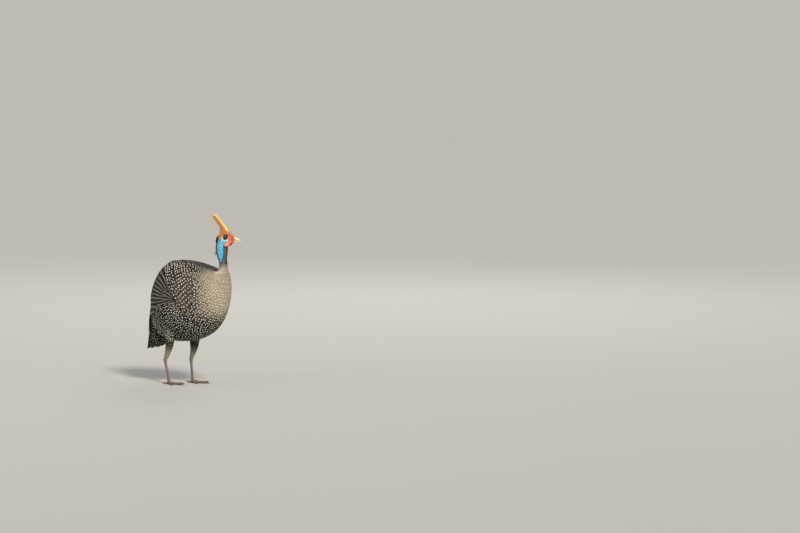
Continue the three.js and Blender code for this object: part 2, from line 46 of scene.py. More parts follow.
BACK = [(0.882, 0.862, 0.21), (0.812, 0.9, 0.41), (0.707, 0.943, 0.61), (0.582, 0.978, 0.78),
        (0.439, 0.985, 0.9), (0.305, 0.962, 0.94), (0.2, 0.885, 0.92), (0.125, 0.77, 0.84),
        (0.076, 0.63, 0.72), (0.052, 0.475, 0.55), (0.038, 0.33, 0.37)]
BREAST = [(0.988, 0.918, 0), (0.99, 0.83, 0), (0.99, 0.727, 0), (0.982, 0.59, 0),
          (0.958, 0.426, 0), (0.91, 0.274, 0), (0.816, 0.138, 0), (0.665, 0.043, 0),
          (0.49, 0.004, 0), (0.31, 0.0, 0), (0.165, 0.045, 0)]
NECK_ROWS = [((121.5, 0, 306), (16.5, 17.0)), ((126.2, 0, 326), (15.2, 14.6)),
             ((128.6, 0, 340), (11.2, 12.2)), ((127.4, 0, 350), (10.6, 11.8)),
             ((124.8, 0, 362), (11.6, 14.2)), ((123.8, 0, 375), (12.8, 17.4)),
             ((123.7, 0, 390), (13.8, 19.0)), ((124.6, 0, 402), (13.8, 19.2))]
HEAD = {"x": 125.4, "z": 409.0, "yaw": math.radians(20)}
HEAD_ROWS = [(-18.5, 2, -10, 3.5), (-15.5, 9.5, -17, 8.5), (-9, 15.5, -20, 12.6), (0, 19.5, -20, 14.6),
             (10, 20.5, -17.5, 14.4), (19, 19, -13.5, 11.4), (27, 16.2, -8.6, 8.4), (32.5, 13.8, -5.0, 6.8)]
EYE = {"forward": 12.8, "side": 9.6, "up": 8.5, "radius": 6.2}
WING_EDGES = [(0.2, 34, 60), (0.28, 22, 84), (0.38, 15, 103), (0.5, 11, 112), (0.62, 9, 108),
              (0.72, 8, 97), (0.8, 8, 84), (0.87, 10, 66), (0.94, 14, 48)]
LEGS = {
    "left": {"side": 1, "thigh": (-8, 35, 132), "hock": (-20, 35, 66), "foot": (-15, 35, 8),
             "bulk": 1.0},
    "right": {"side": -1, "thigh": (-38, -35, 134), "hock": (-56, -35, 67), "foot": (-40, -37, 8),
              "bulk": 0.86},
}
TOES = {"middle": (0, 46), "inner": (-34, 34), "outer": (33, 37), "hind": (172, 15)}
LEG_SHARES = np.array([-0.6, -0.3, -0.12, 0, 0.22, 0.48, 0.72, 0.9, 1.0])
LEG_HALVES = np.array([15, 20.5, 19.5, 17.5, 14.2, 11, 8, 6, 5.2])

# The coat turns from black to pale over these runs, in millimetres: forwards and upwards.
PALE_FROM = {"x": 70, "z": 186}
PALE_RUN = {"x": 66, "z": 58}
# In the map named Feather one millimetre is this share of the map, counted from its middle.
FEATHER_SHARE = 0.02
# In the map named OFBake each feather has a small patch, and the edge of the map stays free.
BAKE_EDGE, BAKE_PATCH = 0.03, 0.003
# A piece of the body's coat is closed after the row that takes it past this many triangles.
COAT_PIECE_TRIANGLES = 170000
# Rows of wing coverts lie this far apart, and the pale lines of the wing fan out from its wrist.
COVERT_STEP = 6.9
WRIST = {"along": -36, "z": 244}
# The skin lies this far under the surface that carries the feathers.
SKIN_DEPTH = {"neck": -0.5, "trunk": -4.6, "vent": -2.4, "thigh": -2.1}
# Size of the grid on which overlapping lofts are fused.
SKIN_VOXEL, HORN_VOXEL = 0.6, 0.55
# Height of one scute on the shank and on a toe.
SCUTE = {"shank": 4.2, "toe": 3.0}
SHANK_HALF, TOE_HALF, BALL_HALF = 3.7, 3.3, 5.6

random = np.random.default_rng(41)

# The shift from those millimetres to the frame is read off an eye, which is a ball.
low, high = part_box("eye_left")
turned = math.cos(HEAD["yaw"]), math.sin(HEAD["yaw"])
SHIFT = (low[0] + high[0]) * 500 - (HEAD["x"] + EYE["forward"] * turned[0] - EYE["side"] * turned[1])
ORIGIN = np.array([SHIFT, 0.0, 0.0])


def metres(points):
    return (np.asarray(points, float) + ORIGIN) * 0.001


def spread(sigma, count):
    return random.normal(0, sigma, count)


def around(count):
    return np.linspace(0, 2 * np.pi, count, endpoint=False)


def steps_of(points):
    return np.linalg.norm(np.diff(points, axis=0), axis=1)


def run_along(points):
    return np.concatenate([[0], np.cumsum(steps_of(points))])


def from_top(a):
    """Degrees between an angle and the top, from 0 to 180."""
    return np.abs((np.degrees(a) + 180) % 360 - 180)


# Curves
def through(rows):
    """The centripetal curve through rows, read at shares from 0 to 1, and run on straight past 1."""
    p = np.array(rows, float)
    p = np.vstack([2 * p[0] - p[1], p, 2 * p[-1] - p[-2]])
    count = len(rows)

    def inside(t):
        place = np.clip(t, 0, 1) * (count - 1)
        i = np.minimum(place.astype(int), count - 2)
        w = (place - i)[..., None]
        x0, x1, x2, x3 = (p[i + k] for k in range(4))
        pairs = (x0, x1), (x1, x2), (x2, x3)
        d = [np.maximum(((b - a) ** 2).sum(-1) ** 0.25, 1e-4)[..., None] for a, b in pairs]
        t1 = ((x1 - x0) / d[0] - (x2 - x0) / (d[0] + d[1]) + (x2 - x1) / d[1]) * d[1]
        t2 = ((x2 - x1) / d[1] - (x3 - x1) / (d[1] + d[2]) + (x3 - x2) / d[2]) * d[1]
        return x1 + w * (t1 + w * (-3 * x1 + 3 * x2 - 2 * t1 - t2 + w * (2 * x1 - 2 * x2 + t1 + t2)))

    grid = np.linspace(0, 1, 1601)
    table = inside(grid)
    slope = (table[-1] - table[-9]) / (grid[-1] - grid[-9])

    def at(t):
        t = np.asarray(t, float)
        value = np.stack([np.interp(t, grid, table[:, k]) for k in range(table.shape[1])], -1)
        return value + np.maximum(t - 1, 0)[..., None] * slope

    return at


def smooth(t):
    t = np.clip(t, 0, 1)
    return t * t * (3 - 2 * t)


def mix(a, b, t):
    return a + (b - a) * t


back_curve, breast_curve = through(BACK), through(BREAST)


# Surfaces: each takes a share along it, an angle round it in radians and a height over it.
def raised(flat):
    def surface(u, a, h=0.0):
        u, a, h = np.broadcast_arrays(np.asarray(u, float), np.asarray(a, float), np.asarray(h, float))
        e = 1e-3
        along = flat(u + e, a) - flat(u - e, a)
        ring = flat(u, a + e) - flat(u, a - e)
        normal = np.cross(along, ring)
        normal /= np.maximum(np.linalg.norm(normal, axis=-1, keepdims=True), 1e-12)
        return flat(u, a) + normal * h[..., None]
    return surface


def body_place(share, z):
    """A place on the body's middle plane, from its shares of length and depth."""
    return np.stack([BODY["rump"] + share * BODY["length"], 0 * share, BODY["belly"] + z * BODY["depth"]], -1)


def body_flat(u, a):
    u = np.maximum(u, 0.0)
    back, breast = back_curve(u), breast_curve(u)
    top = body_place(back[..., 0], back[..., 1])
    bottom = body_place(breast[..., 0], breast[..., 1])
    side = np.maximum(back[..., 2], 0.05) * BODY["half"] * (1 - 0.08 * np.cos(a))
    point = (top + bottom) / 2 + (top - bottom) / 2 * np.cos(a)[..., None]
    point[..., 1] -= side * np.sin(a)
    return point


neck_centre = through([r[0] for r in NECK_ROWS][::-1])
neck_half = through([r[1] for r in NECK_ROWS][::-1])


def neck_flat(v, a):
    centre, half = neck_centre(v), neck_half(v)
    return centre + np.stack([-half[..., 1] * np.cos(a), -half[..., 0] * np.sin(a), 0 * a], -1)


def leg_flat(name):
    leg = LEGS[name]
    shares, halves = LEG_SHARES, LEG_HALVES * mix(leg["bulk"], 1.0, np.clip(LEG_SHARES, 0, 1))
    top, hock = np.array(leg["thigh"], float), np.array(leg["hock"], float)
    way = (hock - top) / np.linalg.norm(hock - top)
    ahead = np.array([1.0, 0, 0]) - way * way[0]
    ahead /= np.linalg.norm(ahead)

    def flat(v, a):
        v = np.asarray(v, float)
        half = np.interp(v, shares, halves)
        bow = np.array([5.0, 0, 0]) * np.sin(np.pi * np.clip(v, 0, 1))[..., None]
        centre = top + (hock - top) * v[..., None] + bow
        across = np.array([0, 0.9, 0]) * (half * np.sin(a))[..., None]
        return centre - ahead * (half * np.cos(a))[..., None] - across
    return flat


TAIL_ROOT, TAIL_TIP = body_place(0.045, 0.34), body_place(0.004, -0.08)
tail_way = TAIL_TIP - TAIL_ROOT
tail_out = np.array([-tail_way[2], 0, tail_way[0]]) / np.linalg.norm(tail_way)
if tail_out[0] > 0:
    tail_out = -tail_out


def tail_flat(s, a):
    s, a = np.asarray(s, float), np.asarray(a, float)
    fan = mix(0.55, 1.0, np.clip(s, 0, 1))
    turn = a * fan
    point = TAIL_ROOT + tail_way * s[..., None] + tail_out * (36 * np.cos(turn) - 36)[..., None]
    point[..., 1] -= 38.9 * np.sin(turn)
    return point


def vent_flat(s, a):
    """The soft mass under the tail, between its two sides."""
    s, a = np.asarray(s, float), np.asarray(a, float)
    wide = np.interp(s, [-0.35, 0, 0.5, 0.85, 1.0], [34, 33, 31, 27, 20])
    deep = np.interp(s, [-0.35, 0, 0.5, 0.85, 1.0], [24, 23, 24, 19, 10])
    middle = np.interp(s, [-0.35, 0, 0.5, 0.85, 1.0], [27, 25, 26, 22, 13])
    point = TAIL_ROOT + tail_way * s[..., None] - tail_out * (middle - deep * np.cos(a))[..., None]
    point[..., 1] -= wide * np.sin(a)
    return point


body, neck, tail, vent = (raised(f) for f in (body_flat, neck_flat, tail_flat, vent_flat))
thighs = {name: raised(leg_flat(name)) for name in LEGS}

wing_curve = through(WING_EDGES)
wing_rows = wing_curve(np.linspace(0, 1, 400))


def wing_angle(u, share):
    top = np.interp(u, wing_rows[:, 0], wing_rows[:, 1])
    bottom = np.interp(u, wing_rows[:, 0], wing_rows[:, 2])
    return np.radians(mix(top, bottom, share))


# Meshes from arrays
def mesh_object(name, points, faces):
    """faces is an array of equal rows, or a list of such arrays."""
    groups = faces if isinstance(faces, list) else [faces]
    mesh = bpy.data.meshes.new(name)
    mesh.vertices.add(len(points))
    mesh.vertices.foreach_set("co", np.asarray(points, np.float32).ravel())
    sizes = np.concatenate([np.full(len(g), g.shape[1], np.int32) for g in groups])
    loops = np.concatenate([g.ravel() for g in groups]).astype(np.int32)
    mesh.loops.add(len(loops))
    mesh.loops.foreach_set("vertex_index", loops)
    mesh.polygons.add(len(sizes))
    mesh.polygons.foreach_set("loop_start", np.concatenate([[0], np.cumsum(sizes)[:-1]]).astype(np.int32))
    mesh.polygons.foreach_set("loop_total", sizes)
    mesh.update(calc_edges=True)
    mesh.validate()
    mesh.polygons.foreach_set("use_smooth", np.ones(len(mesh.polygons), bool))
    obj = bpy.data.objects.new(name, mesh)
    bpy.context.scene.collection.objects.link(obj)
    return obj


def add_uv(mesh, name, per_vertex):
    layer = mesh.uv_layers.new(name=name)
    index = np.empty(len(mesh.loops), np.int32)
    mesh.loops.foreach_get("vertex_index", index)
    layer.data.foreach_set("uv", np.asarray(per_vertex, np.float32)[index].ravel())


def add_value(mesh, name, per_vertex):
    attribute = mesh.attributes.new(name, "FLOAT", "POINT")
    attribute.data.foreach_set("value", np.asarray(per_vertex, np.float32).ravel())


def dress(obj, material):
    obj.data.materials.clear()
    obj.data.materials.append(material)


# Feathers
def round_end(t, start, length):
    return np.sqrt(np.maximum(1 - ((t - start) / length) ** 2, 0.0))


def outline_round(t):
    return np.where(t < 0.6, mix(0.34, 1.0, smooth(t / 0.6)), round_end(t, 0.6, 0.415))


def outline_long(t):
    return np.where(t < 0.8, mix(0.55, 1.0, smooth(t / 0.5)), round_end(t, 0.8, 0.205))


def outline_blade(t):
    return np.maximum(1 - t ** 1.6, 0.0) * mix(0.7, 1.0, smooth(t * 4))


def vanes(surface, u, a, length, half, low, high, turn=0.0, tilt=0.0, camber=0.5, curl=0.0, thick=0.24,
          steps=5, across=4, outline=outline_round, bake=None, **values):
    """Closed thin vanes rooted at (u, a) on a surface. Lengths and heights are in millimetres.

    A vane's own number or one for all of them will do for each size, for bake and for a value."""
    u, a = np.broadcast_arrays(np.asarray(u, float), np.asarray(a, float))
    n = len(u)
    each = lambda v: np.broadcast_to(np.asarray(v, float), (n,))
    sizes = (length, half, low, high, turn, tilt, camber, curl)
    length, half, low, high, turn, tilt, camber, curl = (each(v)[:, None, None] for v in sizes)
    e = 2e-3
    along = (surface(u + e, a) - surface(u - e, a)) / (2 * e)
    ring = (surface(u, a + e) - surface(u, a - e)) / (2 * e)
    normal = np.cross(along, ring)
    normal /= np.linalg.norm(normal, axis=-1, keepdims=True)
    ahead = along / np.linalg.norm(along, axis=-1, keepdims=True)
    aside = np.cross(normal, ahead)
    c, s = np.cos(turn[:, 0]), np.sin(turn[:, 0])
    way = ahead * c + aside * s
    cross = np.cross(normal, way)
    t = (1 - (1 - np.linspace(0, 1, steps + 1)) ** 1.35)[None, :, None]
    x = np.linspace(-1, 1, across + 1)[None, None, :]
    wide = np.broadcast_to(outline(t), (1, steps + 1, 1)).copy()
    wide[:, -1] = max(float(wide[0, -1, 0]), 0.06)
    run = np.broadcast_to(t * length, (n, steps + 1, across + 1))
    # The tip is round: its middle runs further than its sides.
    step_in = 0.30 * half * wide * x ** 2 * smooth((t - 0.45) * 1.8)
    reach = run - step_in
    shift = x * half * wide
    offset = way[:, None, None, :] * reach[..., None] + cross[:, None, None, :] * shift[..., None]
    g11, g12, g22 = ((along * along).sum(-1), (along * ring).sum(-1), (ring * ring).sum(-1))
    r1 = (offset * along[:, None, None, :]).sum(-1)
    r2 = (offset * ring[:, None, None, :]).sum(-1)
    det = (g11 * g22 - g12 * g12)[:, None, None]
    du = (r1 * g22[:, None, None] - r2 * g12[:, None, None]) / det
    da = (r2 * g11[:, None, None] - r1 * g12[:, None, None]) / det
    uu, aa = u[:, None, None] + du, a[:, None, None] + da
    height = mix(low, high, t ** 0.9) + tilt * x * wide - camber * (x * wide) ** 2
    height = height + curl * np.maximum(t - 0.55, 0) ** 2
    top = surface(uu, aa, height)
    under = surface(uu, aa, height - thick * mix(1.0, 0.45, t))
    rows, cols = steps + 1, across + 1
    size = rows * cols
    points = np.concatenate([top.reshape(n, size, 3), under.reshape(n, size, 3)], 1).reshape(-1, 3)
    i, j = np.meshgrid(np.arange(steps), np.arange(across), indexing="ij")
    q = lambda di, dj: ((i + di) * cols + j + dj).ravel()
    upper = np.stack([q(0, 0), q(1, 0), q(1, 1), q(0, 1)], 1)
    lower = upper[:, ::-1] + size
    r = np.arange(steps)
    left = np.stack([r * cols, r * cols + size, (r + 1) * cols + size, (r + 1) * cols], 1)
    right = (left + across)[:, ::-1]
    k = np.arange(across)
    root = np.stack([k, k + 1, k + 1 + size, k + size], 1)
    tip = (root + steps * cols)[:, ::-1]
    one = np.concatenate([upper, lower, left, right, root, tip])
    if np.dot(np.cross(top[0, 1, 0] - top[0, 0, 0], top[0, 0, 1] - top[0, 0, 0]), normal[0]) < 0:
        one = one[:, ::-1]
    faces = (one[None] + (np.arange(n) * 2 * size)[:, None, None]).reshape(-1, 4)
    both = lambda v: np.concatenate([v.reshape(n, size), v.reshape(n, size)], 1).ravel()
    full_shape = (n, rows, cols)
    local_x = both(np.broadcast_to(shift, full_shape))
    local_y = both(np.broadcast_to(length - reach, full_shape))
    spot_u, spot_a = (np.repeat(each(v), 2 * size) for v in (bake or (u, a)))
    t_all = both(np.broadcast_to(t, full_shape))
    x_all = both(np.broadcast_to(x, full_shape))
    bake_uv = np.stack([BAKE_EDGE + 0.94 * ((spot_a / (2 * np.pi) + 0.5) % 1.0) + BAKE_PATCH / 2 * x_all,
                        BAKE_EDGE + 0.93 * np.clip(spot_u, 0, 1) + BAKE_PATCH * (t_all - 0.5)], 1)
    data = {k: np.repeat(each(v), 2 * size) for k, v in values.items()}
    data["rim"] = np.maximum(np.abs(x_all), smooth((t_all - 0.82) / 0.18))
    uv = np.stack([local_x, local_y], 1)
    return {"points": points, "faces": faces, "uv": uv, "bake": bake_uv, "values": data}


def coat_piece(name, groups, material):
    """One object from groups of vanes. A value that a group lacks is 0 on it."""
    points, faces, uv, bake, start = [], [], [], [], 0
    keys = sorted(set().union(*(g["values"] for g in groups)))
    data = {k: [] for k in keys}
    for g in groups:
        points.append(g["points"])
        faces.append(g["faces"] + start)
        start += len(g["points"])
        uv.append(g["uv"])
        bake.append(g["bake"])
        for k in keys:
            data[k].append(g["values"].get(k, np.zeros(len(g["points"]))))
    obj = mesh_object(name, metres(np.concatenate(points)), np.concatenate(faces))
    mesh = obj.data
    add_uv(mesh, "Feather", np.concatenate(uv) * FEATHER_SHARE + 0.5)
    add_uv(mesh, "OFBake", np.concatenate(bake))
    for k in keys:
        add_value(mesh, k, np.concatenate(data[k]))
    mesh.materials.append(material)
    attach(obj, "root")


# Materials
def new_material(name, roughness=0.6, specular=0.5, coat=0.0, coat_rough=0.1):
    material = bpy.data.materials.new(name)
    material.use_nodes = True
    nodes = material.node_tree.nodes
    shader = nodes["Principled BSDF"]
    shader.inputs["Roughness"].default_value = roughness
    shader.inputs["Specular IOR Level"].default_value = specular
    shader.inputs["Coat Weight"].default_value = coat
    shader.inputs["Coat Roughness"].default_value = coat_rough
    return material


class Nodes:
    """Short calls that add and join shader nodes."""

    def __init__(self, material):
        self.tree = material.node_tree
        self.shader = self.tree.nodes["Principled BSDF"]

    def node(self, kind, **settings):
        n = self.tree.nodes.new(kind)
        for k, v in settings.items():
            setattr(n, k, v)
        return n

    def put(self, socket, value):
        if isinstance(value, bpy.types.NodeSocket):
            self.tree.links.new(value, socket)
        else:
            socket.default_value = value

    def math(self, operation, a, b=0.0):
        n = self.node("ShaderNodeMath", operation=operation)
        for socket, value in zip(n.inputs, (a, b)):
            self.put(socket, value)
        return n.outputs[0]

    def mul(self, a, b):
        return self.math("MULTIPLY", a, b)

    def add(self, a, b):
        return self.math("ADD", a, b)

    def less(self, a, b):
        return self.math("SUBTRACT", a, b)

    def ramp(self, value, low, high):
        n = self.node("ShaderNodeMapRange", interpolation_type="SMOOTHSTEP")
        for socket, v in zip(n.inputs, (value, low, high, 0.0, 1.0)):
            self.put(socket, v)
        return n.outputs[0]

    def mix(self, factor, a, b):
        n = self.node("ShaderNodeMix", data_type="RGBA")
        self.put(n.inputs[0], factor)
        self.put(n.inputs[6], a if isinstance(a, bpy.types.NodeSocket) else (*a, 1))
        self.put(n.inputs[7], b if isinstance(b, bpy.types.NodeSocket) else (*b, 1))
        return n.outputs[2]

    def value(self, name):
        return self.node("ShaderNodeAttribute", attribute_name=name).outputs["Fac"]

    def place(self):
        return self.node("ShaderNodeTexCoord").outputs["Object"]

    def noise(self, vector, scale, detail=3.0, rough=0.55):
        n = self.node("ShaderNodeTexNoise")
        self.put(n.inputs["Vector"], vector)
        n.inputs["Scale"].default_value = scale
        n.inputs["Detail"].default_value = detail
        n.inputs["Roughness"].default_value = rough
        return n.outputs["Fac"]

    def cells(self, vector, scale, feature="F1"):
        n = self.node("ShaderNodeTexVoronoi", feature=feature)
        self.put(n.inputs["Vector"], vector)
        n.inputs["Scale"].default_value = scale
        return n.outputs["Distance"]

    def feather(self):
        """Position in a feather: across it and back from its tip, in millimetres."""
        n = self.node("ShaderNodeUVMap", uv_map="Feather")
        split = self.node("ShaderNodeSeparateXYZ")
        self.put(split.inputs[0], n.outputs[0])
        scale = lambda s: self.math("MULTIPLY", self.math("SUBTRACT", s, 0.5), 1 / FEATHER_SHARE)
        return scale(split.outputs[0]), scale(split.outputs[1])

    def bump(self, height, strength, distance):
        n = self.node("ShaderNodeBump")
        n.inputs["Strength"].default_value = strength
        n.inputs["Distance"].default_value = distance
        self.put(n.inputs["Height"], height)
        return n.outputs[0]

    def finish(self, colour=None, roughness=None, normal=None):
        for name, value in (("Base Color", colour), ("Roughness", roughness), ("Normal", normal)):
            if value is not None:
                self.put(self.shader.inputs[name], value)


def feather_material(name):
    """Dark feathers with white spots or bars, and fine pale mottling where the value pale is high."""
    material = new_material(name, roughness=0.66, specular=0.13)
    n = Nodes(material)
    x, y = n.feather()
    pale, dot, seed, bar, pitch = (n.value(k) for k in ("pale", "dot", "seed", "bar", "pitch"))
    place = n.place()
    aside = n.math("ABSOLUTE", n.less(x, n.value("column")))
    aside = n.mul(aside, n.less(1.0, n.value("wide")))
    wobble = n.less(n.noise(place, 230.0, 2.0), 0.5)
    # Spots stand in rows, the first one near the tip.
    half = n.mul(pitch, 0.5)
    row = n.math("PINGPONG", n.add(n.less(y, half), n.mul(pitch, 40.0)), half)
    reach = n.math("SQRT", n.add(n.mul(aside, aside), n.mul(row, row)))
    spot = n.ramp(n.less(n.add(dot, n.mul(wobble, 0.9)), reach), -0.16, 0.2)
    halo = n.ramp(n.less(n.add(dot, 1.25), reach), -0.5, 0.5)
    # Bars cross the long feathers aslant, each one swelling and thinning along its way.
    slant = n.add(y, n.mul(n.math("ABSOLUTE", x), 0.5))
    slant = n.add(slant, n.add(n.mul(wobble, 3.4), n.mul(seed, 3.0)))
    wave = n.math("PINGPONG", n.mul(n.add(slant, 200.0), 0.128), 0.5)
    line = n.mul(n.ramp(wave, 0.33, 0.42), bar)
    # On the folded wing they spread like a fan, more of them further out.
    turn, span = n.value("turn"), n.value("span")
    drift = n.add(n.mul(wobble, 0.5), n.mul(seed, 0.30))
    swell = n.mul(n.less(n.noise(place, 150.0, 1.0), 0.5), 0.22)
    fans = []
    for rate in (2.7, 5.4):
        fan = n.math("PINGPONG", n.add(n.mul(turn, rate), n.add(drift, 60.0)), 0.5)
        fans.append(n.ramp(n.add(fan, swell), 0.29, 0.40))
    outer = n.ramp(span, 27.0, 38.0)
    fan = n.add(n.mul(fans[0], n.less(1.0, outer)), n.mul(fans[1], outer))
    line = n.math("MAXIMUM", line, n.mul(fan, n.ramp(span, 2.0, 12.0)))
    barbs = n.math("SINE", n.mul(n.add(y, n.math("ABSOLUTE", x)), 11.0))
    shaft = n.ramp(n.math("ABSOLUTE", x), 0.42, 0.14)
    fine = n.noise(place, 900.0, 2.0)
    worm = n.math("ABSOLUTE", n.less(n.noise(place, 520.0, 1.0), 0.5))
    worm = n.ramp(worm, 0.055, 0.015)
    slate = n.mix(seed, (0.0055, 0.005, 0.0055), (0.0115, 0.0105, 0.0105))
    slate = n.mix(n.mul(n.mul(worm, n.less(1.0, halo)), 0.42), slate, (0.072, 0.063, 0.050))
    slate = n.mix(n.mul(shaft, 0.35), slate, (0.035, 0.03, 0.027))
    mottle = n.noise(place, 460.0, 2.0, 0.6)
    grey = n.mix(n.ramp(mottle, 0.38, 0.60), (0.20, 0.165, 0.115), (0.66, 0.565, 0.43))
    grey = n.mix(n.mul(seed, 0.4), grey, (0.38, 0.325, 0.245))
    grey = n.mix(n.mul(worm, 0.45), grey, (0.50, 0.44, 0.36))
    ground = n.mix(pale, slate, grey)
    white = n.mix(n.ramp(fine, 0.35, 0.65), (0.52, 0.485, 0.42), (0.74, 0.70, 0.62))
    strength = n.less(1.0, n.mul(pale, 0.5))
    colour = n.mix(n.mul(line, 0.9), ground, n.mix(seed, (0.20, 0.195, 0.145), (0.30, 0.285, 0.225)))
    colour = n.mix(n.mul(spot, strength), colour, white)
    # The edge of each feather is darker, as the next one lies in its shade.
    edge = n.mul(n.ramp(n.value("rim"), 0.80, 1.0), 0.35)
    colour = n.mix(edge, colour, (0.012, 0.011, 0.012))
    bump = n.bump(n.add(n.mul(barbs, 0.5), n.mul(shaft, 1.6)), 0.35, 0.00018)
    n.finish(colour, normal=bump)
    return material


plumage = feather_material("plumage")


# Coat of the body: rows from the neck to the tail, each row staggered on the last.
def body_rows():
    grid = np.linspace(0, 1.0, 801)
    side = body(grid, np.full(801, math.radians(95)))
    run = run_along(side)
    rows, place = [], 0.4
    while place < run[-1]:
        share = float(np.interp(place, run, grid))
        pitch = mix(4.3, 7.6, smooth((share - 0.02) / 0.42))
        rows.append((share, pitch))
        place += pitch * 0.88
    return rows


def pale_front(p):
    return smooth((p[..., 0] - 0.10 * np.abs(p[..., 1]) - PALE_FROM["x"]) / PALE_RUN["x"])


def pale_high(p):
    return smooth((p[..., 2] - PALE_FROM["z"]) / PALE_RUN["z"])


def paleness(u, a):
    """How grey the coat is: pale at the breast and lower neck, black behind and along the back."""
    p = body(u, a)
    angle = from_top(a)
    wash = 0.14 * smooth((p[..., 0] + 20) / 70) * smooth((angle - 48) / 30)
    front = wash + 0.86 * pale_front(p)
    ridge = smooth((angle - 16) / 34)
    return np.clip(front * pale_high(p) * ridge, 0, 1)


def in_wing(u, angle):
    top = np.degrees(wing_angle(u, 0.0))
    bottom = np.degrees(wing_angle(u, 1.0))
    return (u > 0.30) & (u < 0.74) & (angle > top + 17) & (angle < bottom - 27)


def dot_size(u, degrees, pale):
    """Radius of the white spots, in millimetres: small in front and along the ridge of the back. They also
    shrink towards the rear, which is painted shade darkening the flank and rump.
    """
    # The term that takes 0.52 off from u of 0.6 on is painted shade: smaller spots darken the rear of the
    # body.
    size = mix(1.0, 1.82, smooth((u - 0.08) / 0.30)) - 0.52 * smooth((u - 0.60) / 0.2)
    return size * mix(0.45, 1.0, smooth((degrees - 10) / 34)) * (1 - 0.22 * pale)


def rear_bars(u, degrees):
    """Spots run together to short bars at the back's end and behind the wing."""
    return 0.4 * smooth((u - 0.80) / 0.08) * smooth((degrees - 30) / 30) * (1 - smooth((degrees - 120) / 30))


def back_bars(u, degrees):
    """How far the spots are drawn out across the feathers, along the upper back and behind the wing."""
    upper = smooth((u - 0.26) / 0.14) * smooth((64 - degrees) / 26)
    return np.clip(0.45 * upper + 0.5 * smooth((u - 0.72) / 0.1), 0, 0.65)


def body_coat():
    groups = []
    current, count = [], 0
    for k, (share, pitch) in enumerate(body_rows()):
        ring = body(np.full(181, share), np.linspace(0, 2 * np.pi, 181))
        total = steps_of(ring).sum()
        number = max(int(total / (pitch * 1.02)), 12)
        run = run_along(ring)
        spots = (np.arange(number) + (0.5 if k % 2 else 0.0)) * total / number
        angle = np.interp(spots, run, np.linspace(0, 2 * np.pi, 181))
        u = share + spread(0.0012, number)
        angle = angle + spread(0.05, number) * pitch / 60
        degrees = from_top(angle)
        keep = ~in_wing(np.full(number, share), degrees)
        u, angle, degrees = u[keep], angle[keep], degrees[keep]
        if not len(u):
            continue
        m = len(u)
        pale = paleness(u, angle)
        small = pitch < 5.2
        current.append(vanes(
            body, u, angle,
            length=pitch * 3.1 * (1 + spread(0.05, m)),
            half=pitch * 0.84 * (1 + spread(0.05, m)),
            low=mix(-0.9, -4.4, smooth(share / 0.07)), high=0.0 + spread(0.12, m),
            turn=spread(0.06, m), tilt=np.where(np.sin(angle) > 0, 0.12, -0.12),
            camber=0.34, curl=mix(0.9, 0.3, pale) * random.random(m), thick=0.18,
            steps=5 if small else 7, across=4,
            pale=pale, dot=dot_size(u, degrees, pale) * (1 + spread(0.10, m)),
            seed=random.random(m), bar=rear_bars(u, degrees), pitch=pitch * 1.12,
            wide=back_bars(u, degrees)))
        count += len(current[-1]["faces"]) * 2
        if count > COAT_PIECE_TRIANGLES:
            groups.append(current)
            current, count = [], 0
    groups.append(current)
    return groups


for i, rows in enumerate(body_coat()):
    coat_piece(f"coat_body_{i + 1}", rows, plumage)


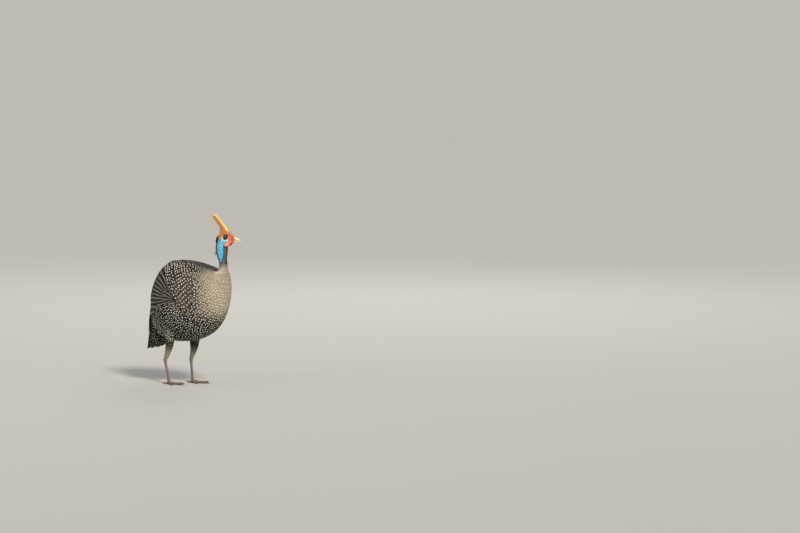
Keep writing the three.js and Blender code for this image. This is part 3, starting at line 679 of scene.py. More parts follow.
# Wings: rows of coverts, then the long feathers, laid over the body's line.
def wing_coat(side):
    sign = -1.0 if side == "left" else 1.0
    groups = []
    # Long feathers of the wing: the outer ones lie lowest, and the inner ones over them.
    number = 16
    share = np.linspace(1.0, 0.03, number)
    u = mix(0.37, 0.40, share) + spread(0.003, number)
    end = 0.90 + 0.10 * share - 0.12 * share ** 3 + spread(0.004, number)
    a = wing_angle(u, share)
    aim = body(end, wing_angle(end, share * 0.96 + 0.02)) - body(u, a)
    e = 2e-3
    along = body(u + e, a) - body(u - e, a)
    along /= np.linalg.norm(along, axis=-1, keepdims=True)
    ring = body(u, a + e) - body(u, a - e)
    aside = np.cross(np.cross(along, ring), along)
    aside /= np.linalg.norm(aside, axis=-1, keepdims=True)
    turn = np.arctan2((aim * aside).sum(-1), (aim * along).sum(-1))
    groups.append(vanes(
        body, u, sign * a, length=np.linalg.norm(aim, axis=1) * 1.06, half=np.linspace(8.6, 11.0, number),
        low=0.4, high=1.7 + 0.07 * np.arange(number), turn=sign * turn * 0.9, tilt=sign * -0.85,
        curl=1.4, thick=0.4, steps=26, across=8, outline=outline_long, seed=random.random(number),
        pitch=7.0, column=3.5))
    # Their pale lines fan out behind the wrist.
    p = groups[0]["points"]
    behind = WRIST["along"] - (0.788 * p[:, 0] - 0.616 * np.abs(p[:, 1]))
    below = WRIST["z"] - p[:, 2]
    groups[0]["values"]["turn"] = np.arctan2(below, np.maximum(behind, 1.0))
    groups[0]["values"]["span"] = np.hypot(below, np.maximum(behind, 1.0))
    # Rows of coverts, from the longest to the shoulder, laid a row's pitch apart.
    grid = np.linspace(0.235, 0.485, 200)
    run = run_along(body(grid, wing_angle(grid, 0.5)))
    rows = np.interp(np.arange(0.0, run[-1], COVERT_STEP), run, grid)
    for k, base in enumerate(rows):
        ring = body(np.full(60, base), wing_angle(base, np.linspace(0, 1, 60)))
        width = steps_of(ring).sum()
        progress = k / (len(rows) - 1)
        pitch = mix(6.6, 8.3, smooth(progress * 1.6))
        number = max(int(width / pitch), 5)
        share = (np.arange(number) + (0.78 if k % 2 else 0.28)) / number
        u = base + 0.05 * progress * (share - 0.5) + spread(0.0012, number)
        a = wing_angle(u, share)
        degrees = np.degrees(a)
        pale = paleness(u, a)
        lift = mix(0.5, 3.7, smooth(progress * 1.3)) * mix(0.55, 1.0, smooth(share * 6))
        groups.append(vanes(
            body, u, sign * a, length=mix(18, 27, progress) * (1 + spread(0.04, number)),
            half=pitch * 0.86 * (1 + spread(0.04, number)),
            low=mix(-3.4, 0.6, progress), high=lift + spread(0.16, number),
            turn=sign * random.normal(0.02, 0.05, number), tilt=sign * -0.3, camber=0.45,
            curl=0.9 * random.random(number), steps=6, pale=pale,
            dot=dot_size(u, degrees, pale) * (1 + spread(0.1, number)), seed=random.random(number),
            pitch=8.6, wide=0.45 * smooth((50 - degrees) / 22)))
    return groups


coat_piece("coat_wing_left", wing_coat("left"), plumage)
coat_piece("coat_wing_right", wing_coat("right"), plumage)


# Tail: long feathers in a roof, with rows of coverts over their roots and soft ones beneath.
def tail_coat():
    groups = []
    number = 16
    a = np.radians(np.linspace(-68, 68, number))
    order = np.abs(np.linspace(-1, 1, number))
    groups.append(vanes(
        tail, 0.05, a, length=(101 - 12 * order ** 2) * (1 + spread(0.01, number)),
        half=8.8, low=-2.6, high=0.8 - 2.4 * order + spread(0.12, number),
        turn=spread(0.012, number), tilt=np.where(a > 0, 0.8, -0.8), thick=0.5, steps=16, across=8,
        outline=outline_long, bake=(0.97, a), dot=0.7, seed=random.random(number),
        bar=0.10, pitch=8.0, column=3.6))
    starts = np.arange(0.30, -0.36, -0.066)
    for k, start in enumerate(starts):
        progress = k / (len(starts) - 1)
        reach = mix(64, 52, progress)
        number = 11 + k % 2
        a = np.radians(np.linspace(-reach, reach, number) + (0 if k % 2 else 1.5)) + spread(0.02, number)
        groups.append(vanes(
            tail, start + spread(0.008, number), a, length=25 * (1 + spread(0.05, number)), half=6.9,
            low=mix(-0.8, 0.6, progress), high=mix(1.5, 2.6, smooth(progress * 2)) + spread(0.12, number),
            turn=spread(0.05, number), tilt=np.where(a > 0, 0.25, -0.25), camber=0.4,
            curl=0.3 * random.random(number), steps=7, bake=(0.9, a),
            dot=mix(0.45, 1.0, progress) * (1 + spread(0.1, number)), seed=random.random(number),
            bar=0.15, pitch=8.4, wide=0.5))
    return groups


def vent_coat():
    groups = []
    for k, start in enumerate(np.arange(0.78, -0.36, -0.062)):
        ring = vent(np.full(121, start), np.linspace(-np.pi, np.pi, 121))
        run = run_along(ring)
        number = max(int(run[-1] / 7.8), 6)
        spots = (np.arange(number) + (0.5 if k % 2 else 0)) * run[-1] / number
        a = np.interp(spots, run, np.linspace(-np.pi, np.pi, 121))
        # The spots are real, but their small size here is painted shade that darkens the vent under the tail.
        groups.append(vanes(
            vent, start + spread(0.006, number), a, length=23 * (1 + spread(0.06, number)),
            half=6.6, low=-2.4, high=0.4 + spread(0.15, number), turn=spread(0.08, number),
            tilt=np.where(np.sin(a) > 0, 0.15, -0.15), camber=0.35, curl=0.6 * random.random(number),
            thick=0.2, steps=7, bake=(0.93, a), dot=0.95 * (1 + spread(0.15, number)),
            seed=random.random(number), pitch=8.2, wide=0.3))
    return groups


coat_piece("coat_tail", tail_coat(), plumage)
coat_piece("coat_vent", vent_coat(), plumage)


# Lower neck and thighs.
def neck_coat():
    groups = []
    for k, v in enumerate(np.linspace(0.55, 0.955, 15)):
        half = neck_half(np.array(v))
        number = int(2 * np.pi * half.mean() / 3.4)
        a = (np.arange(number) + (0.5 if k % 2 else 0)) * 2 * np.pi / number + spread(0.03, number)
        degrees = from_top(a)
        pale = (0.25 + 0.75 * smooth((degrees - 15) / 45)) * mix(0.35, 1.0, smooth((k + 1) / 6))
        groups.append(vanes(
            neck, v + spread(0.004, number), a, length=11.5 * (1 + spread(0.07, number)),
            half=3.3, low=-2.0, high=mix(0.0, 0.5, k / 14) + spread(0.12, number),
            turn=spread(0.08, number), tilt=0.1, camber=0.22, curl=0.7 * random.random(number), thick=0.16,
            pale=pale, dot=0.4, seed=random.random(number), pitch=3.4))
    return groups


coat_piece("coat_neck", neck_coat(), plumage)


def thigh_coat(name):
    groups = []
    for k, v in enumerate(np.linspace(-0.42, 0.93, 27)):
        half = np.interp(v, LEG_SHARES, LEG_HALVES)
        number = max(int(2 * np.pi * half / mix(6.0, 4.6, smooth(v * 3 + 0.6))), 8)
        a = (np.arange(number) + (0.5 if k % 2 else 0)) * 2 * np.pi / number
        groups.append(vanes(
            thighs[name], v, a, length=mix(17, 8, smooth(v)) * (1 + spread(0.06, number)),
            half=mix(5.0, 2.4, smooth((v + 0.25) / 0.9)), low=-1.9, high=0.3 + spread(0.15, number),
            turn=spread(0.1, number), tilt=0.15, camber=0.3, curl=0.8 * random.random(number), thick=0.18,
            bake=(np.clip(v, 0, 1), a), pale=mix(0.0, 0.72, smooth(v * 1.5)),
            dot=mix(1.55, 0.1, smooth((v + 0.22) * 1.9)), seed=random.random(number), pitch=7.0))
    return groups


for name in LEGS:
    coat_piece(f"coat_thigh_{name}", thigh_coat(name), plumage)


# Closed lofts for skin, horn and scales
def rings_mesh(rings):
    rings = np.asarray(rings, float)
    n, m = rings.shape[:2]
    points = rings.reshape(-1, 3)
    i, j = np.meshgrid(np.arange(n - 1), np.arange(m), indexing="ij")
    q = lambda di, dj: ((i + di) * m + (j + dj) % m).ravel()
    faces = np.stack([q(0, 0), q(0, 1), q(1, 1), q(1, 0)], 1)
    ends, extra = [], []
    for k in (0, n - 1):
        centre = len(points) + len(extra)
        extra.append(rings[k].mean(0))
        w = np.arange(m)
        nxt = (w + 1) % m
        tri = np.stack([np.full(m, centre), k * m + nxt, k * m + w], 1)
        ends.append(tri if k == 0 else tri[:, ::-1])
    return np.vstack([points, np.array(extra)]), [faces] + ends


def faces_inwards(points, faces):
    volume = 0.0
    for f in faces:
        for k in range(1, f.shape[1] - 1):
            turn = np.cross(points[f[:, k]], points[f[:, k + 1]])
            volume += np.einsum("ij,ij->i", points[f[:, 0]], turn).sum()
    return volume < 0


def loft_object(name, rings):
    points, faces = rings_mesh(rings)
    obj = mesh_object(name, metres(points), faces)
    if faces_inwards(points, faces):
        obj.data.flip_normals()
    return obj


def joined(name, objects):
    bpy.ops.object.select_all(action="DESELECT")
    for o in objects:
        o.select_set(True)
    bpy.context.view_layer.objects.active = objects[0]
    bpy.ops.object.join()
    objects[0].name = name
    return objects[0]


def remeshed(obj, voxel, rounds):
    """One closed surface from overlapping lofts, with its joints rounded."""
    bpy.context.view_layer.objects.active = obj
    m = obj.modifiers.new("remesh", "REMESH")
    m.mode = "VOXEL"
    m.voxel_size = voxel * 0.001
    m.use_smooth_shade = True
    s = obj.modifiers.new("smooth", "SMOOTH")
    s.factor = 0.5
    s.iterations = rounds
    bpy.ops.object.select_all(action="DESELECT")
    obj.select_set(True)
    for name in ("remesh", "smooth"):
        bpy.ops.object.modifier_apply(modifier=name)
    obj.data.polygons.foreach_set("use_smooth", np.ones(len(obj.data.polygons), bool))
    return obj


def vertices(obj):
    co = np.empty(len(obj.data.vertices) * 3, np.float32)
    obj.data.vertices.foreach_get("co", co)
    return co.reshape(-1, 3).astype(float) * 1000 - ORIGIN


def set_vertices(obj, points):
    obj.data.vertices.foreach_set("co", metres(points).astype(np.float32).ravel())
    obj.data.update()


def normals(obj):
    no = np.empty(len(obj.data.vertices) * 3, np.float32)
    obj.data.vertices.foreach_get("normal", no)
    return no.reshape(-1, 3).astype(float)


def to_head(points):
    p = np.asarray(points, float) - np.array([HEAD["x"], 0, HEAD["z"]])
    c, s = turned
    return np.stack([p[..., 0] * c + p[..., 1] * s, -p[..., 0] * s + p[..., 1] * c, p[..., 2]], -1)


def from_head(points):
    p = np.asarray(points, float)
    c, s = turned
    x = p[..., 0] * c - p[..., 1] * s + HEAD["x"]
    return np.stack([x, p[..., 0] * s + p[..., 1] * c, p[..., 2] + HEAD["z"]], -1)


def oval(centre, a, b, sides):
    t = around(sides)[:, None]
    return np.asarray(centre, float) + np.asarray(a, float) * np.cos(t) + np.asarray(b, float) * np.sin(t)


head_line = through([r[:3] for r in HEAD_ROWS])
head_half = through([(r[3],) for r in HEAD_ROWS])


def head_loft(grow, steps=40, sides=48):
    rings = []
    for t in np.linspace(0, 1, steps):
        p = head_line(np.array(t))
        half = head_half(np.array(t))[0]
        x = p[0] - (grow if t == 0 else 0)
        tall = (0, 0, (p[1] - p[2]) / 2 + grow)
        rings.append(oval((x, 0, (p[1] + p[2]) / 2), tall, (0, half + grow, 0), sides))
    return from_head(np.array(rings))


def wavy(points, scale, seed):
    r = np.random.default_rng(seed)
    total = np.zeros(len(points))
    for _ in range(5):
        way = r.normal(size=3)
        way /= np.linalg.norm(way)
        total += np.sin(points @ way * scale * r.uniform(0.6, 1.7) + r.uniform(0, 6.3))
    return total / 5


# Skin of head, wattles and neck, shaped as one.
neck_rings = [neck(v, around(56), SKIN_DEPTH["neck"]) for v in np.linspace(0.0, 1.0, 60)]
WATTLE = [(29.5, 7.6, -2.4, 1.4, 2.4), (25, 10.4, -5.4, 1.7, 4.3), (20, 12.9, -9.0, 1.9, 6.2),
          (15.5, 14.8, -10.6, 1.9, 6.2), (11.5, 16.6, -10.6, 1.6, 4.8), (8.8, 17.6, -10.2, 1.1, 2.3)]
wattle_line = through([r[:3] for r in WATTLE])
wattle_size = through([(r[3], r[4], 0) for r in WATTLE])


def wattle_ways(side):
    """The way a wattle hangs and the way it faces."""
    return np.array([0, -side * 0.34, 0.94]), np.array([0.42, side * 0.94, 0.3])


wattles = []
for side in (1, -1):
    rings = []
    for t in np.linspace(0, 1, 30):
        c, half = wattle_line(np.array(t)), wattle_size(np.array(t))
        close = math.sqrt(max(1 - abs(2 * t - 1) ** 6, 0.02))
        tall, thick = (way * size * close for way, size in zip(wattle_ways(side), (half[1], half[0])))
        rings.append(oval((c[0], side * c[1], c[2]), tall, thick, 32))
    wattles.append(loft_object("wattle", from_head(np.array(rings))))
face = joined("skin", [loft_object("face", head_loft(-0.15)), loft_object("neck", neck_rings), *wattles])
remeshed(face, SKIN_VOXEL, rounds=3)


def wattle_share(q):
    """1 on the wattles, 0 on the rest of the head."""
    run = np.linspace(0, 1, 60)
    line, size = wattle_line(run), wattle_size(run)
    best = np.zeros(len(q))
    for side in (1, -1):
        hanging, facing = wattle_ways(side)
        for c, half in zip(line, size):
            gap = q - np.array([c[0], side * c[1], c[2]])
            near = 1 - np.hypot(gap @ hanging / (half[1] + 0.9), gap @ facing / (half[0] + 1.1))
            best = np.maximum(best, near * (np.abs(gap[:, 0]) < 3.2))
    return smooth(best / 0.16)


points = vertices(face)
local = to_head(points)
out = normals(face)
push = np.zeros(len(points))
for side in (1, -1):
    eye = np.array([EYE["forward"], side * EYE["side"], EYE["up"]])
    toward = local - eye
    flat = np.hypot(toward[:, 0], toward[:, 2] * 1.06)
    facing = smooth((toward[:, 1] * side + 2) / 4)
    ring = np.exp(-((flat - 6.6) / 0.85) ** 2)
    push += facing * ring * 1.15
    push += facing * np.exp(-((flat - 9.3) / 0.6) ** 2) * 0.28
    push -= facing * (flat < 5.4) * 2.4
    brow = np.exp(-((toward[:, 0] + 0.5) / 6) ** 2) * np.exp(-((toward[:, 2] - 7.6) / 1.5) ** 2)
    push += facing * brow * 0.9
    ear = np.array([-3.5, side * 14.6, 0.5])
    away = np.linalg.norm((local - ear) * np.array([1, 0.6, 1.25]), axis=1)
    push += np.exp(-((away - 3.2) / 0.7) ** 2) * 0.45 - np.exp(-(away / 1.9) ** 2) * 2.2
    nose = np.array([29.6, side * 7.6, 8.4])
    away = np.linalg.norm((local - nose) * np.array([0.5, 0.6, 1.0]), axis=1)
    push += np.exp(-((away - 1.7) / 0.6) ** 2) * 0.4 - np.exp(-(away / 0.95) ** 2) * 1.3
# The cere swells over the bill's root, and the cheek folds run down from the gape.
push += 0.55 * smooth((local[:, 0] - 25) / 5) * smooth((local[:, 2] + 1) / 5)
fold = np.sin(local[:, 2] * 1.9 + 0.9 * np.sin(local[:, 0] * 0.45))
neck_part = smooth((-12 - local[:, 2]) / 8)
push += 0.16 * fold * neck_part
push += 0.28 * wavy(local, 1.6, 31) * wattle_share(local)
set_vertices(face, points + out * push[:, None])


# Values for the skin's colours
def skin_values(obj):
    p = to_head(vertices(obj))
    f, l, z = p[:, 0], np.abs(p[:, 1]), p[:, 2]
    n1, n2 = wavy(p, 0.9, 3), wavy(p, 2.2, 4)
    eye_f, eye_z = f - EYE["forward"], z - EYE["up"]
    eye_d = np.hypot(eye_f, eye_z * 1.05)
    # Red: ahead of the eye up to the bill, and down to the gape.
    edge = 19.0 - 0.30 * (z - 6) + 0.9 * n1
    red = smooth((f - edge) / 1.8) * smooth((z + 12 + n1) / 2.5)
    under = smooth((-3.0 - z + 0.15 * (f - 12) + 0.6 * n1) / 1.8)
    red = np.maximum(red, under * smooth((f - 9) / 2.5) * smooth((z + 15.5) / 2.5))
    brow = smooth((z - 14.6 - 0.5 * n1) / 1.2) * smooth((f - 4) / 3)
    # Pale skin ahead of, under and behind the eye.
    pale = smooth((12.6 + n1 - eye_d) / 2.2) * smooth((13.0 - z) / 3) * smooth((z + 4.5) / 2.5)
    # Dark: the nape, the back of the crown, the lid above the eye.
    down = -z
    nape_edge = -11.2 + 0.5 * n1 - 2.4 * smooth((down - 4) / 14) + 6.4 * smooth((down - 30) / 28)
    nape = smooth((nape_edge - f) / 1.4)
    occiput = smooth((-7.5 - f + 0.6 * n1) / 1.5) * smooth((z + 3) / 3)
    lid = smooth((7.5 - eye_d) / 0.8) * smooth((eye_z + 1.0) / 2.5) * (l > 6)
    rim = smooth((6.6 - eye_d) / 0.5) * (l > 6)
    over_eye = np.exp(-((eye_z - 7.2 + 0.04 * eye_f ** 2) / 1.2) ** 2)
    over_eye = over_eye * smooth((8.5 - np.abs(eye_f)) / 2.5) * (l > 6)
    corner = np.exp(-(((eye_f + 7.0) / 1.5) ** 2 + ((eye_z - 3.5) / 2.2) ** 2))
    # The throat is dusky, with a black scalloped border against the blue.
    scallop = 1.7 * np.abs(np.sin(z * 0.55)) + 0.5 * n2
    border = 7.6 - 5.4 * smooth((down - 34) / 26) - scallop
    inside = smooth((-13.5 - z) / 2.2)
    throat = smooth((f - border) / 0.9) * inside
    line = np.exp(-((f - border - 0.9) / 1.1) ** 2) * inside
    front = smooth((f - 12.0) / 1.4) * smooth((down - 34) / 10)
    spots = smooth((np.sin(z * 0.9 + 1.5 * n1) * np.sin(l * 1.1 + n2) - 0.35) / 0.3) * throat
    low_end = smooth((down - 58) / 4)
    ear = np.exp(-(((f + 3.5) / 2.3) ** 2 + ((z - 0.5) / 2.0) ** 2))
    nose = np.exp(-(((f - 29.6) / 2.0) ** 2 + ((z - 8.6) / 1.2) ** 2) ** 2)
    dark = np.maximum.reduce([nape, occiput, lid, rim, over_eye, corner, line, front,
                              low_end * 0.8, 0.85 * ear, 0.8 * nose])
    values = {"red": np.maximum(red, 0.75 * brow) * (1 - nape), "pale": pale, "dark": np.clip(dark, 0, 1),
              "throat": throat, "spots": np.clip(spots, 0, 1), "low": smooth((down - 18) / 40),
              "coat": 0 * f, "wattle": wattle_share(p)}
    for name, v in values.items():
        add_value(obj.data, name, v)


skin_values(face)

# The body's skin lies under the coat, and with it that of the vent and the thighs.
body_rings = [body(u, around(72), SKIN_DEPTH["trunk"]) for u in np.linspace(0.0, 1.0, 70)]
vent_rings = [vent(v, around(40), SKIN_DEPTH["vent"]) for v in np.linspace(-0.35, 0.9, 20)]
end = body_rings[-1]
for share, bulge in ((0.82, 4), (0.5, 7)):
    body_rings.append(end.mean(0) + (end - end.mean(0)) * share + np.array([-0.93, 0, -0.36]) * bulge)
shells = [loft_object("trunk", body_rings), loft_object("vent_skin", vent_rings)]
for name in LEGS:
    rings = [thighs[name](v, around(36), SKIN_DEPTH["thigh"]) for v in np.linspace(0.0, 1.0, 24)]
    shells.append(loft_object(f"thigh_{name}_skin", rings))
for shell in shells:
    at = vertices(shell)
    for name in ("red", "pale", "low", "throat"):
        add_value(shell.data, name, np.zeros(len(at)))
    add_value(shell.data, "dark", np.ones(len(at)))
    add_value(shell.data, "coat", pale_front(at) * pale_high(at))


def skin_material():
    material = new_material("bare_skin", roughness=0.5, specular=0.4, coat=0.06, coat_rough=0.35)
    n = Nodes(material)
    place = n.place()
    red, pale, dark, low, throat = (n.value(k) for k in ("red", "pale", "dark", "low", "throat"))
    broad = n.noise(place, 140.0, 3.0)
    grain = n.noise(place, 1500.0, 3.0, 0.6)
    pores = n.cells(place, 900.0)
    blue = n.mix(n.ramp(broad, 0.35, 0.65), (0.045, 0.32, 0.60), (0.13, 0.60, 0.82))
    blue = n.mix(n.mul(low, 0.6), blue, (0.075, 0.27, 0.62))
    blue = n.mix(n.mul(n.ramp(grain, 0.5, 0.72), 0.25), blue, (0.20, 0.62, 0.78))
    red_tone = n.mix(n.ramp(broad, 0.3, 0.7), (0.42, 0.055, 0.04), (0.64, 0.14, 0.085))
    red_tone = n.mix(n.mul(n.ramp(grain, 0.5, 0.75), 0.35), red_tone, (0.74, 0.25, 0.16))
    dusky = n.mix(n.ramp(grain, 0.35, 0.65), (0.075, 0.066, 0.068), (0.20, 0.17, 0.165))
    dusky = n.mix(n.mul(n.value("spots"), 0.7), dusky, (0.11, 0.018, 0.02))
    colour = n.mix(pale, blue, (0.42, 0.60, 0.70))
    colour = n.mix(red, colour, red_tone)
    colour = n.mix(throat, colour, dusky)
    flesh = n.mix(n.ramp(broad, 0.3, 0.7), (0.50, 0.085, 0.05), (0.74, 0.21, 0.12))
    flesh = n.mix(n.mul(n.ramp(pores, 0.3, 0.6), 0.35), flesh, (0.82, 0.34, 0.22))
    black = n.mix(n.ramp(grain, 0.4, 0.7), (0.007, 0.007, 0.009), (0.024, 0.021, 0.023))
    colour = n.mix(dark, colour, black)
    colour = n.mix(n.value("wattle"), colour, flesh)
    colour = n.mix(n.value("coat"), colour, (0.24, 0.20, 0.155))
    bump = n.bump(n.add(n.mul(grain, 0.6), pores), 0.5, 0.00025)
    n.finish(colour, normal=bump)
    return material


bare_skin = skin_material()
for shell in (face, *shells):
    dress(shell, bare_skin)


# Eyes
def eye_material():
    material = new_material("eye", roughness=0.09, specular=0.45, coat=0.5, coat_rough=0.03)
    n = Nodes(material)
    r = n.value("round")
    ring = n.noise(n.place(), 900.0, 4.0)
    iris = n.mix(n.ramp(ring, 0.3, 0.7), (0.010, 0.0045, 0.0025), (0.034, 0.013, 0.006))
    colour = n.mix(n.ramp(r, 0.60, 0.66), (0.001, 0.001, 0.001), iris)
    colour = n.mix(n.ramp(r, 0.84, 0.92), colour, (0.006, 0.005, 0.005))
    n.finish(colour)
    return material


eye_look = eye_material()
for name, side in (("left", 1), ("right", -1)):
    rings = []
    for t in np.linspace(0.0, math.pi, 40)[1:-1]:
        r = EYE["radius"] * math.sin(t)
        depth = EYE["radius"] * math.cos(t)
        bulge = 0.55 * math.exp(-(t / 0.5) ** 2)
        rings.append(oval((0, side * (depth + bulge), 0), (r, 0, 0), (0, 0, r), 40))
    centre = np.array([EYE["forward"], side * EYE["side"], EYE["up"]])
    ball = loft_object(f"eyeball_{name}", from_head(np.array(rings) + centre))
    p = to_head(vertices(ball)) - centre
    from_axis = np.hypot(p[:, 0], p[:, 2]) / EYE["radius"] / 0.9
    add_value(ball.data, "round", np.where(p[:, 1] * side > 0, from_axis, 1.2))
    dress(ball, eye_look)
    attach(ball, "root")
    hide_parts(f"eye_{name}")


# Casque
CASQUE_FRONT = [(25, 15), (20.5, 26.4), (10.1, 38.3), (-0.3, 51.2), (-10.7, 63.1), (-18, 70)]
CASQUE_REAR = [(-9, 12), (-7.3, 24), (-8.9, 35), (-15.5, 45.2), (-25, 55.6), (-30, 64.5)]
front_line = through([(x, z, 0) for x, z in CASQUE_FRONT])
rear_line = through([(x, z, 0) for x, z in CASQUE_REAR])
rings = []
for t in np.linspace(0, 1, 40):
    a, b = front_line(np.array(t)), rear_line(np.array(t))
    half = mix(7.8, 4.2, smooth(t * 1.6))
    centre, reach = (a + b) / 2, (a - b) / 2
    rings.append(oval((centre[0], 0, centre[1]), (reach[0], 0, reach[1]), (0, half, 0), 36))
last = rings[-1]
for share, rise in ((0.95, 1.3), (0.82, 2.6), (0.62, 3.5), (0.35, 4.1)):
    rings.append(last.mean(0) + (last - last.mean(0)) * share + np.array([-0.6, 0, 0.8]) * rise)
horn = loft_object("horn", from_head(np.array(rings)))
# The horn's saddle hugs the crown and sends a lappet down behind each eye.
saddle = loft_object("saddle", head_loft(1.5, 60, 72))
SADDLE = np.array([(26, 14), (22, 32), (-13, 32), (-14.5, 13), (-8, 7.5), (-4, 2), (-0.5, 1), (2, 4.5),
                   (1.5, 11), (7, 17.2), (16, 17.5)])
count = len(SADDLE)
slab = np.array([np.stack([SADDLE[:, 0], np.full(count, y), SADDLE[:, 1]], 1) for y in (-22, 22)])
corners = metres(from_head(slab).reshape(-1, 3))
side_faces = [(k, (k + 1) % count, (k + 1) % count + count, k + count) for k in range(count)]
end_faces = [tuple(range(count))[::-1], tuple(range(count, 2 * count))]
mesh = bpy.data.meshes.new("slab")
mesh.from_pydata([tuple(v) for v in corners], [], end_faces + side_faces)
cutter = bpy.data.objects.new("slab", mesh)
bpy.context.scene.collection.objects.link(cutter)
inner = loft_object("inner", head_loft(-1.0, 60, 72))


def boolean(obj, other, operation):
    m = obj.modifiers.new("cut", "BOOLEAN")
    m.operation = operation
    m.solver = "EXACT"
    m.object = other
    bpy.ops.object.select_all(action="DESELECT")
    obj.select_set(True)
    bpy.context.view_layer.objects.active = obj
    bpy.ops.object.modifier_apply(modifier="cut")


boolean(saddle, cutter, "INTERSECT")
boolean(saddle, inner, "DIFFERENCE")
for extra in (cutter, inner):
    bpy.data.objects.remove(extra)
casque = remeshed(joined("casque_horn", [horn, saddle]), HORN_VOXEL, rounds=7)
points = vertices(casque)
local = to_head(points)


def horn_edge(q):
    """How near a point is to the horn's front edge, or to its rim near the tip."""
    front_x = np.interp(q[:, 2], [z for _, z in CASQUE_FRONT] + [74], [x for x, _ in CASQUE_FRONT] + [-22])
    rear_x = np.interp(q[:, 2], [z for _, z in CASQUE_REAR] + [72], [x for x, _ in CASQUE_REAR] + [-34])
    share = np.clip((q[:, 0] - rear_x) / np.maximum(front_x - rear_x, 1), 0, 1)
    ahead = smooth((share - 0.60) / 0.28) * smooth((q[:, 2] - 19) / 14)
    behind = smooth((0.24 - share) / 0.2) * smooth((q[:, 2] - 40) / 10)
    tip = smooth((q[:, 2] - 66) / 5)
    return np.maximum.reduce([ahead, behind, tip])


# The sides are hollowed between the rims, and grooved towards the foot.
hollow = (1 - horn_edge(local)) * smooth((local[:, 2] - 26) / 8)
ridge = 0.30 * wavy(local * np.array([0.5, 1, 0.5]), 0.9, 9) + 0.14 * wavy(local, 2.4, 10)
ridge += 0.22 * np.sin(local[:, 0] * 1.5 + local[:, 2] * 0.75) * smooth((40 - local[:, 2]) / 12)
ridge -= 0.95 * hollow
set_vertices(casque, points + normals(casque) * ridge[:, None])
p = to_head(vertices(casque))
add_value(casque.data, "rise", np.clip((p[:, 2] - 14) / 58, 0, 1))
add_value(casque.data, "edge", horn_edge(p))


def horn_material():
    material = new_material("horn", roughness=0.5, specular=0.4, coat=0.08, coat_rough=0.3)
    n = Nodes(material)
    place = n.place()
    rise, edge = n.value("rise"), n.value("edge")
    broad = n.noise(place, 170.0, 4.0)
    streak = n.noise(place, 700.0, 4.0, 0.65)
    base = n.mix(n.ramp(broad, 0.35, 0.65), (0.36, 0.095, 0.022), (0.55, 0.19, 0.045))
    tan = n.mix(n.ramp(streak, 0.3, 0.7), (0.32, 0.13, 0.026), (0.54, 0.26, 0.06))
    colour = n.mix(n.ramp(rise, 0.22, 0.6), base, tan)
    colour = n.mix(n.mul(edge, 0.9), colour, (0.76, 0.55, 0.17))
    foot = n.mul(n.ramp(rise, 0.03, -0.12), 0.7)
    colour = n.mix(foot, colour, (0.46, 0.22, 0.12))
    dark = n.mul(n.ramp(n.noise(place, 420.0, 5.0, 0.7), 0.58, 0.72), 0.5)
    colour = n.mix(dark, colour, (0.20, 0.07, 0.022))
    bump = n.bump(n.add(streak, n.mul(broad, 2.0)), 0.45, 0.0004)
    n.finish(colour, normal=bump)
    return material


dress(casque, horn_material())
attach(casque, "root")
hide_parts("casque")

# Bill
UPPER_BILL = [(31.0, 13.8, 1.4, 6.7), (32.8, 13.4, 1.4, 6.4), (37, 11.8, 1.2, 5.3), (42, 9.2, 0.8, 4.1),
              (46.5, 6.3, 0.2, 3.0), (50.5, 3.0, -0.9, 1.8), (53.4, -0.4, -2.4, 0.7)]
LOWER_BILL = [(31.0, 1.0, -4.8, 5.8), (32.8, 1.0, -4.8, 5.6), (37, 0.8, -4.5, 4.6), (42, 0.4, -3.9, 3.5),
              (46.5, -0.2, -3.1, 2.3), (49.6, -1.2, -2.6, 1.2)]


def bill_material():
    material = new_material("bill", roughness=0.34, specular=0.45, coat=0.12, coat_rough=0.2)
    n = Nodes(material)
    place = n.place()
    root = n.value("root")
    grain = n.noise(place, 500.0, 4.0, 0.6)
    colour = n.mix(n.ramp(grain, 0.3, 0.7), (0.64, 0.54, 0.27), (0.80, 0.72, 0.44))
    flesh = n.mix(n.ramp(grain, 0.35, 0.65), (0.42, 0.07, 0.045), (0.62, 0.17, 0.10))
    colour = n.mix(n.mul(root, 0.92), colour, flesh)
    n.finish(colour, normal=n.bump(grain, 0.25, 0.0002))
    return material


bill_look = bill_material()
for name, rows, keel in (("upper", UPPER_BILL, 1), ("lower", LOWER_BILL, -1)):
    line = through([r[:3] for r in rows])
    wide = through([(r[3],) for r in rows])
    rings = []
    for t in np.linspace(0, 1, 34):
        p = line(np.array(t))
        half = wide(np.array(t))[0]
        turn = around(36)
        # The ridge is narrow and the cutting edge is sharp.
        up = np.cos(turn)
        across = np.sin(turn) * np.where(up * keel > 0, 1 - 0.28 * np.abs(up) ** 1.5, 1.0)
        mid, tall = (p[1] + p[2]) / 2, (p[1] - p[2]) / 2
        height = np.where(up * keel > 0, up, np.sign(up) * np.abs(up) ** 0.6)
        rings.append(np.stack([np.full(36, p[0]), half * across, mid + tall * height], 1))
    piece = loft_object(f"bill_{name}_horn", from_head(np.array(rings)))
    q = to_head(vertices(piece))
    border = 37.5 + 0.12 * (q[:, 2] - 4)
    add_value(piece.data, "root", smooth((border - q[:, 0] + 0.9 * wavy(q, 1.3, 21)) / 2.2))
    dress(piece, bill_look)
    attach(piece, "root")
    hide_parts(f"bill_{name}")


def crown_flat(v, a):
    v, a = np.asarray(v, float), np.asarray(a, float)
    p, half = head_line(np.clip(v, 0, 1)), head_half(np.clip(v, 0, 1))[..., 0]
    height = (p[..., 1] + p[..., 2]) / 2 + (p[..., 1] - p[..., 2]) / 2 * np.cos(a)
    return from_head(np.stack([p[..., 0], -half * np.sin(a), height], -1))


crown = raised(crown_flat)


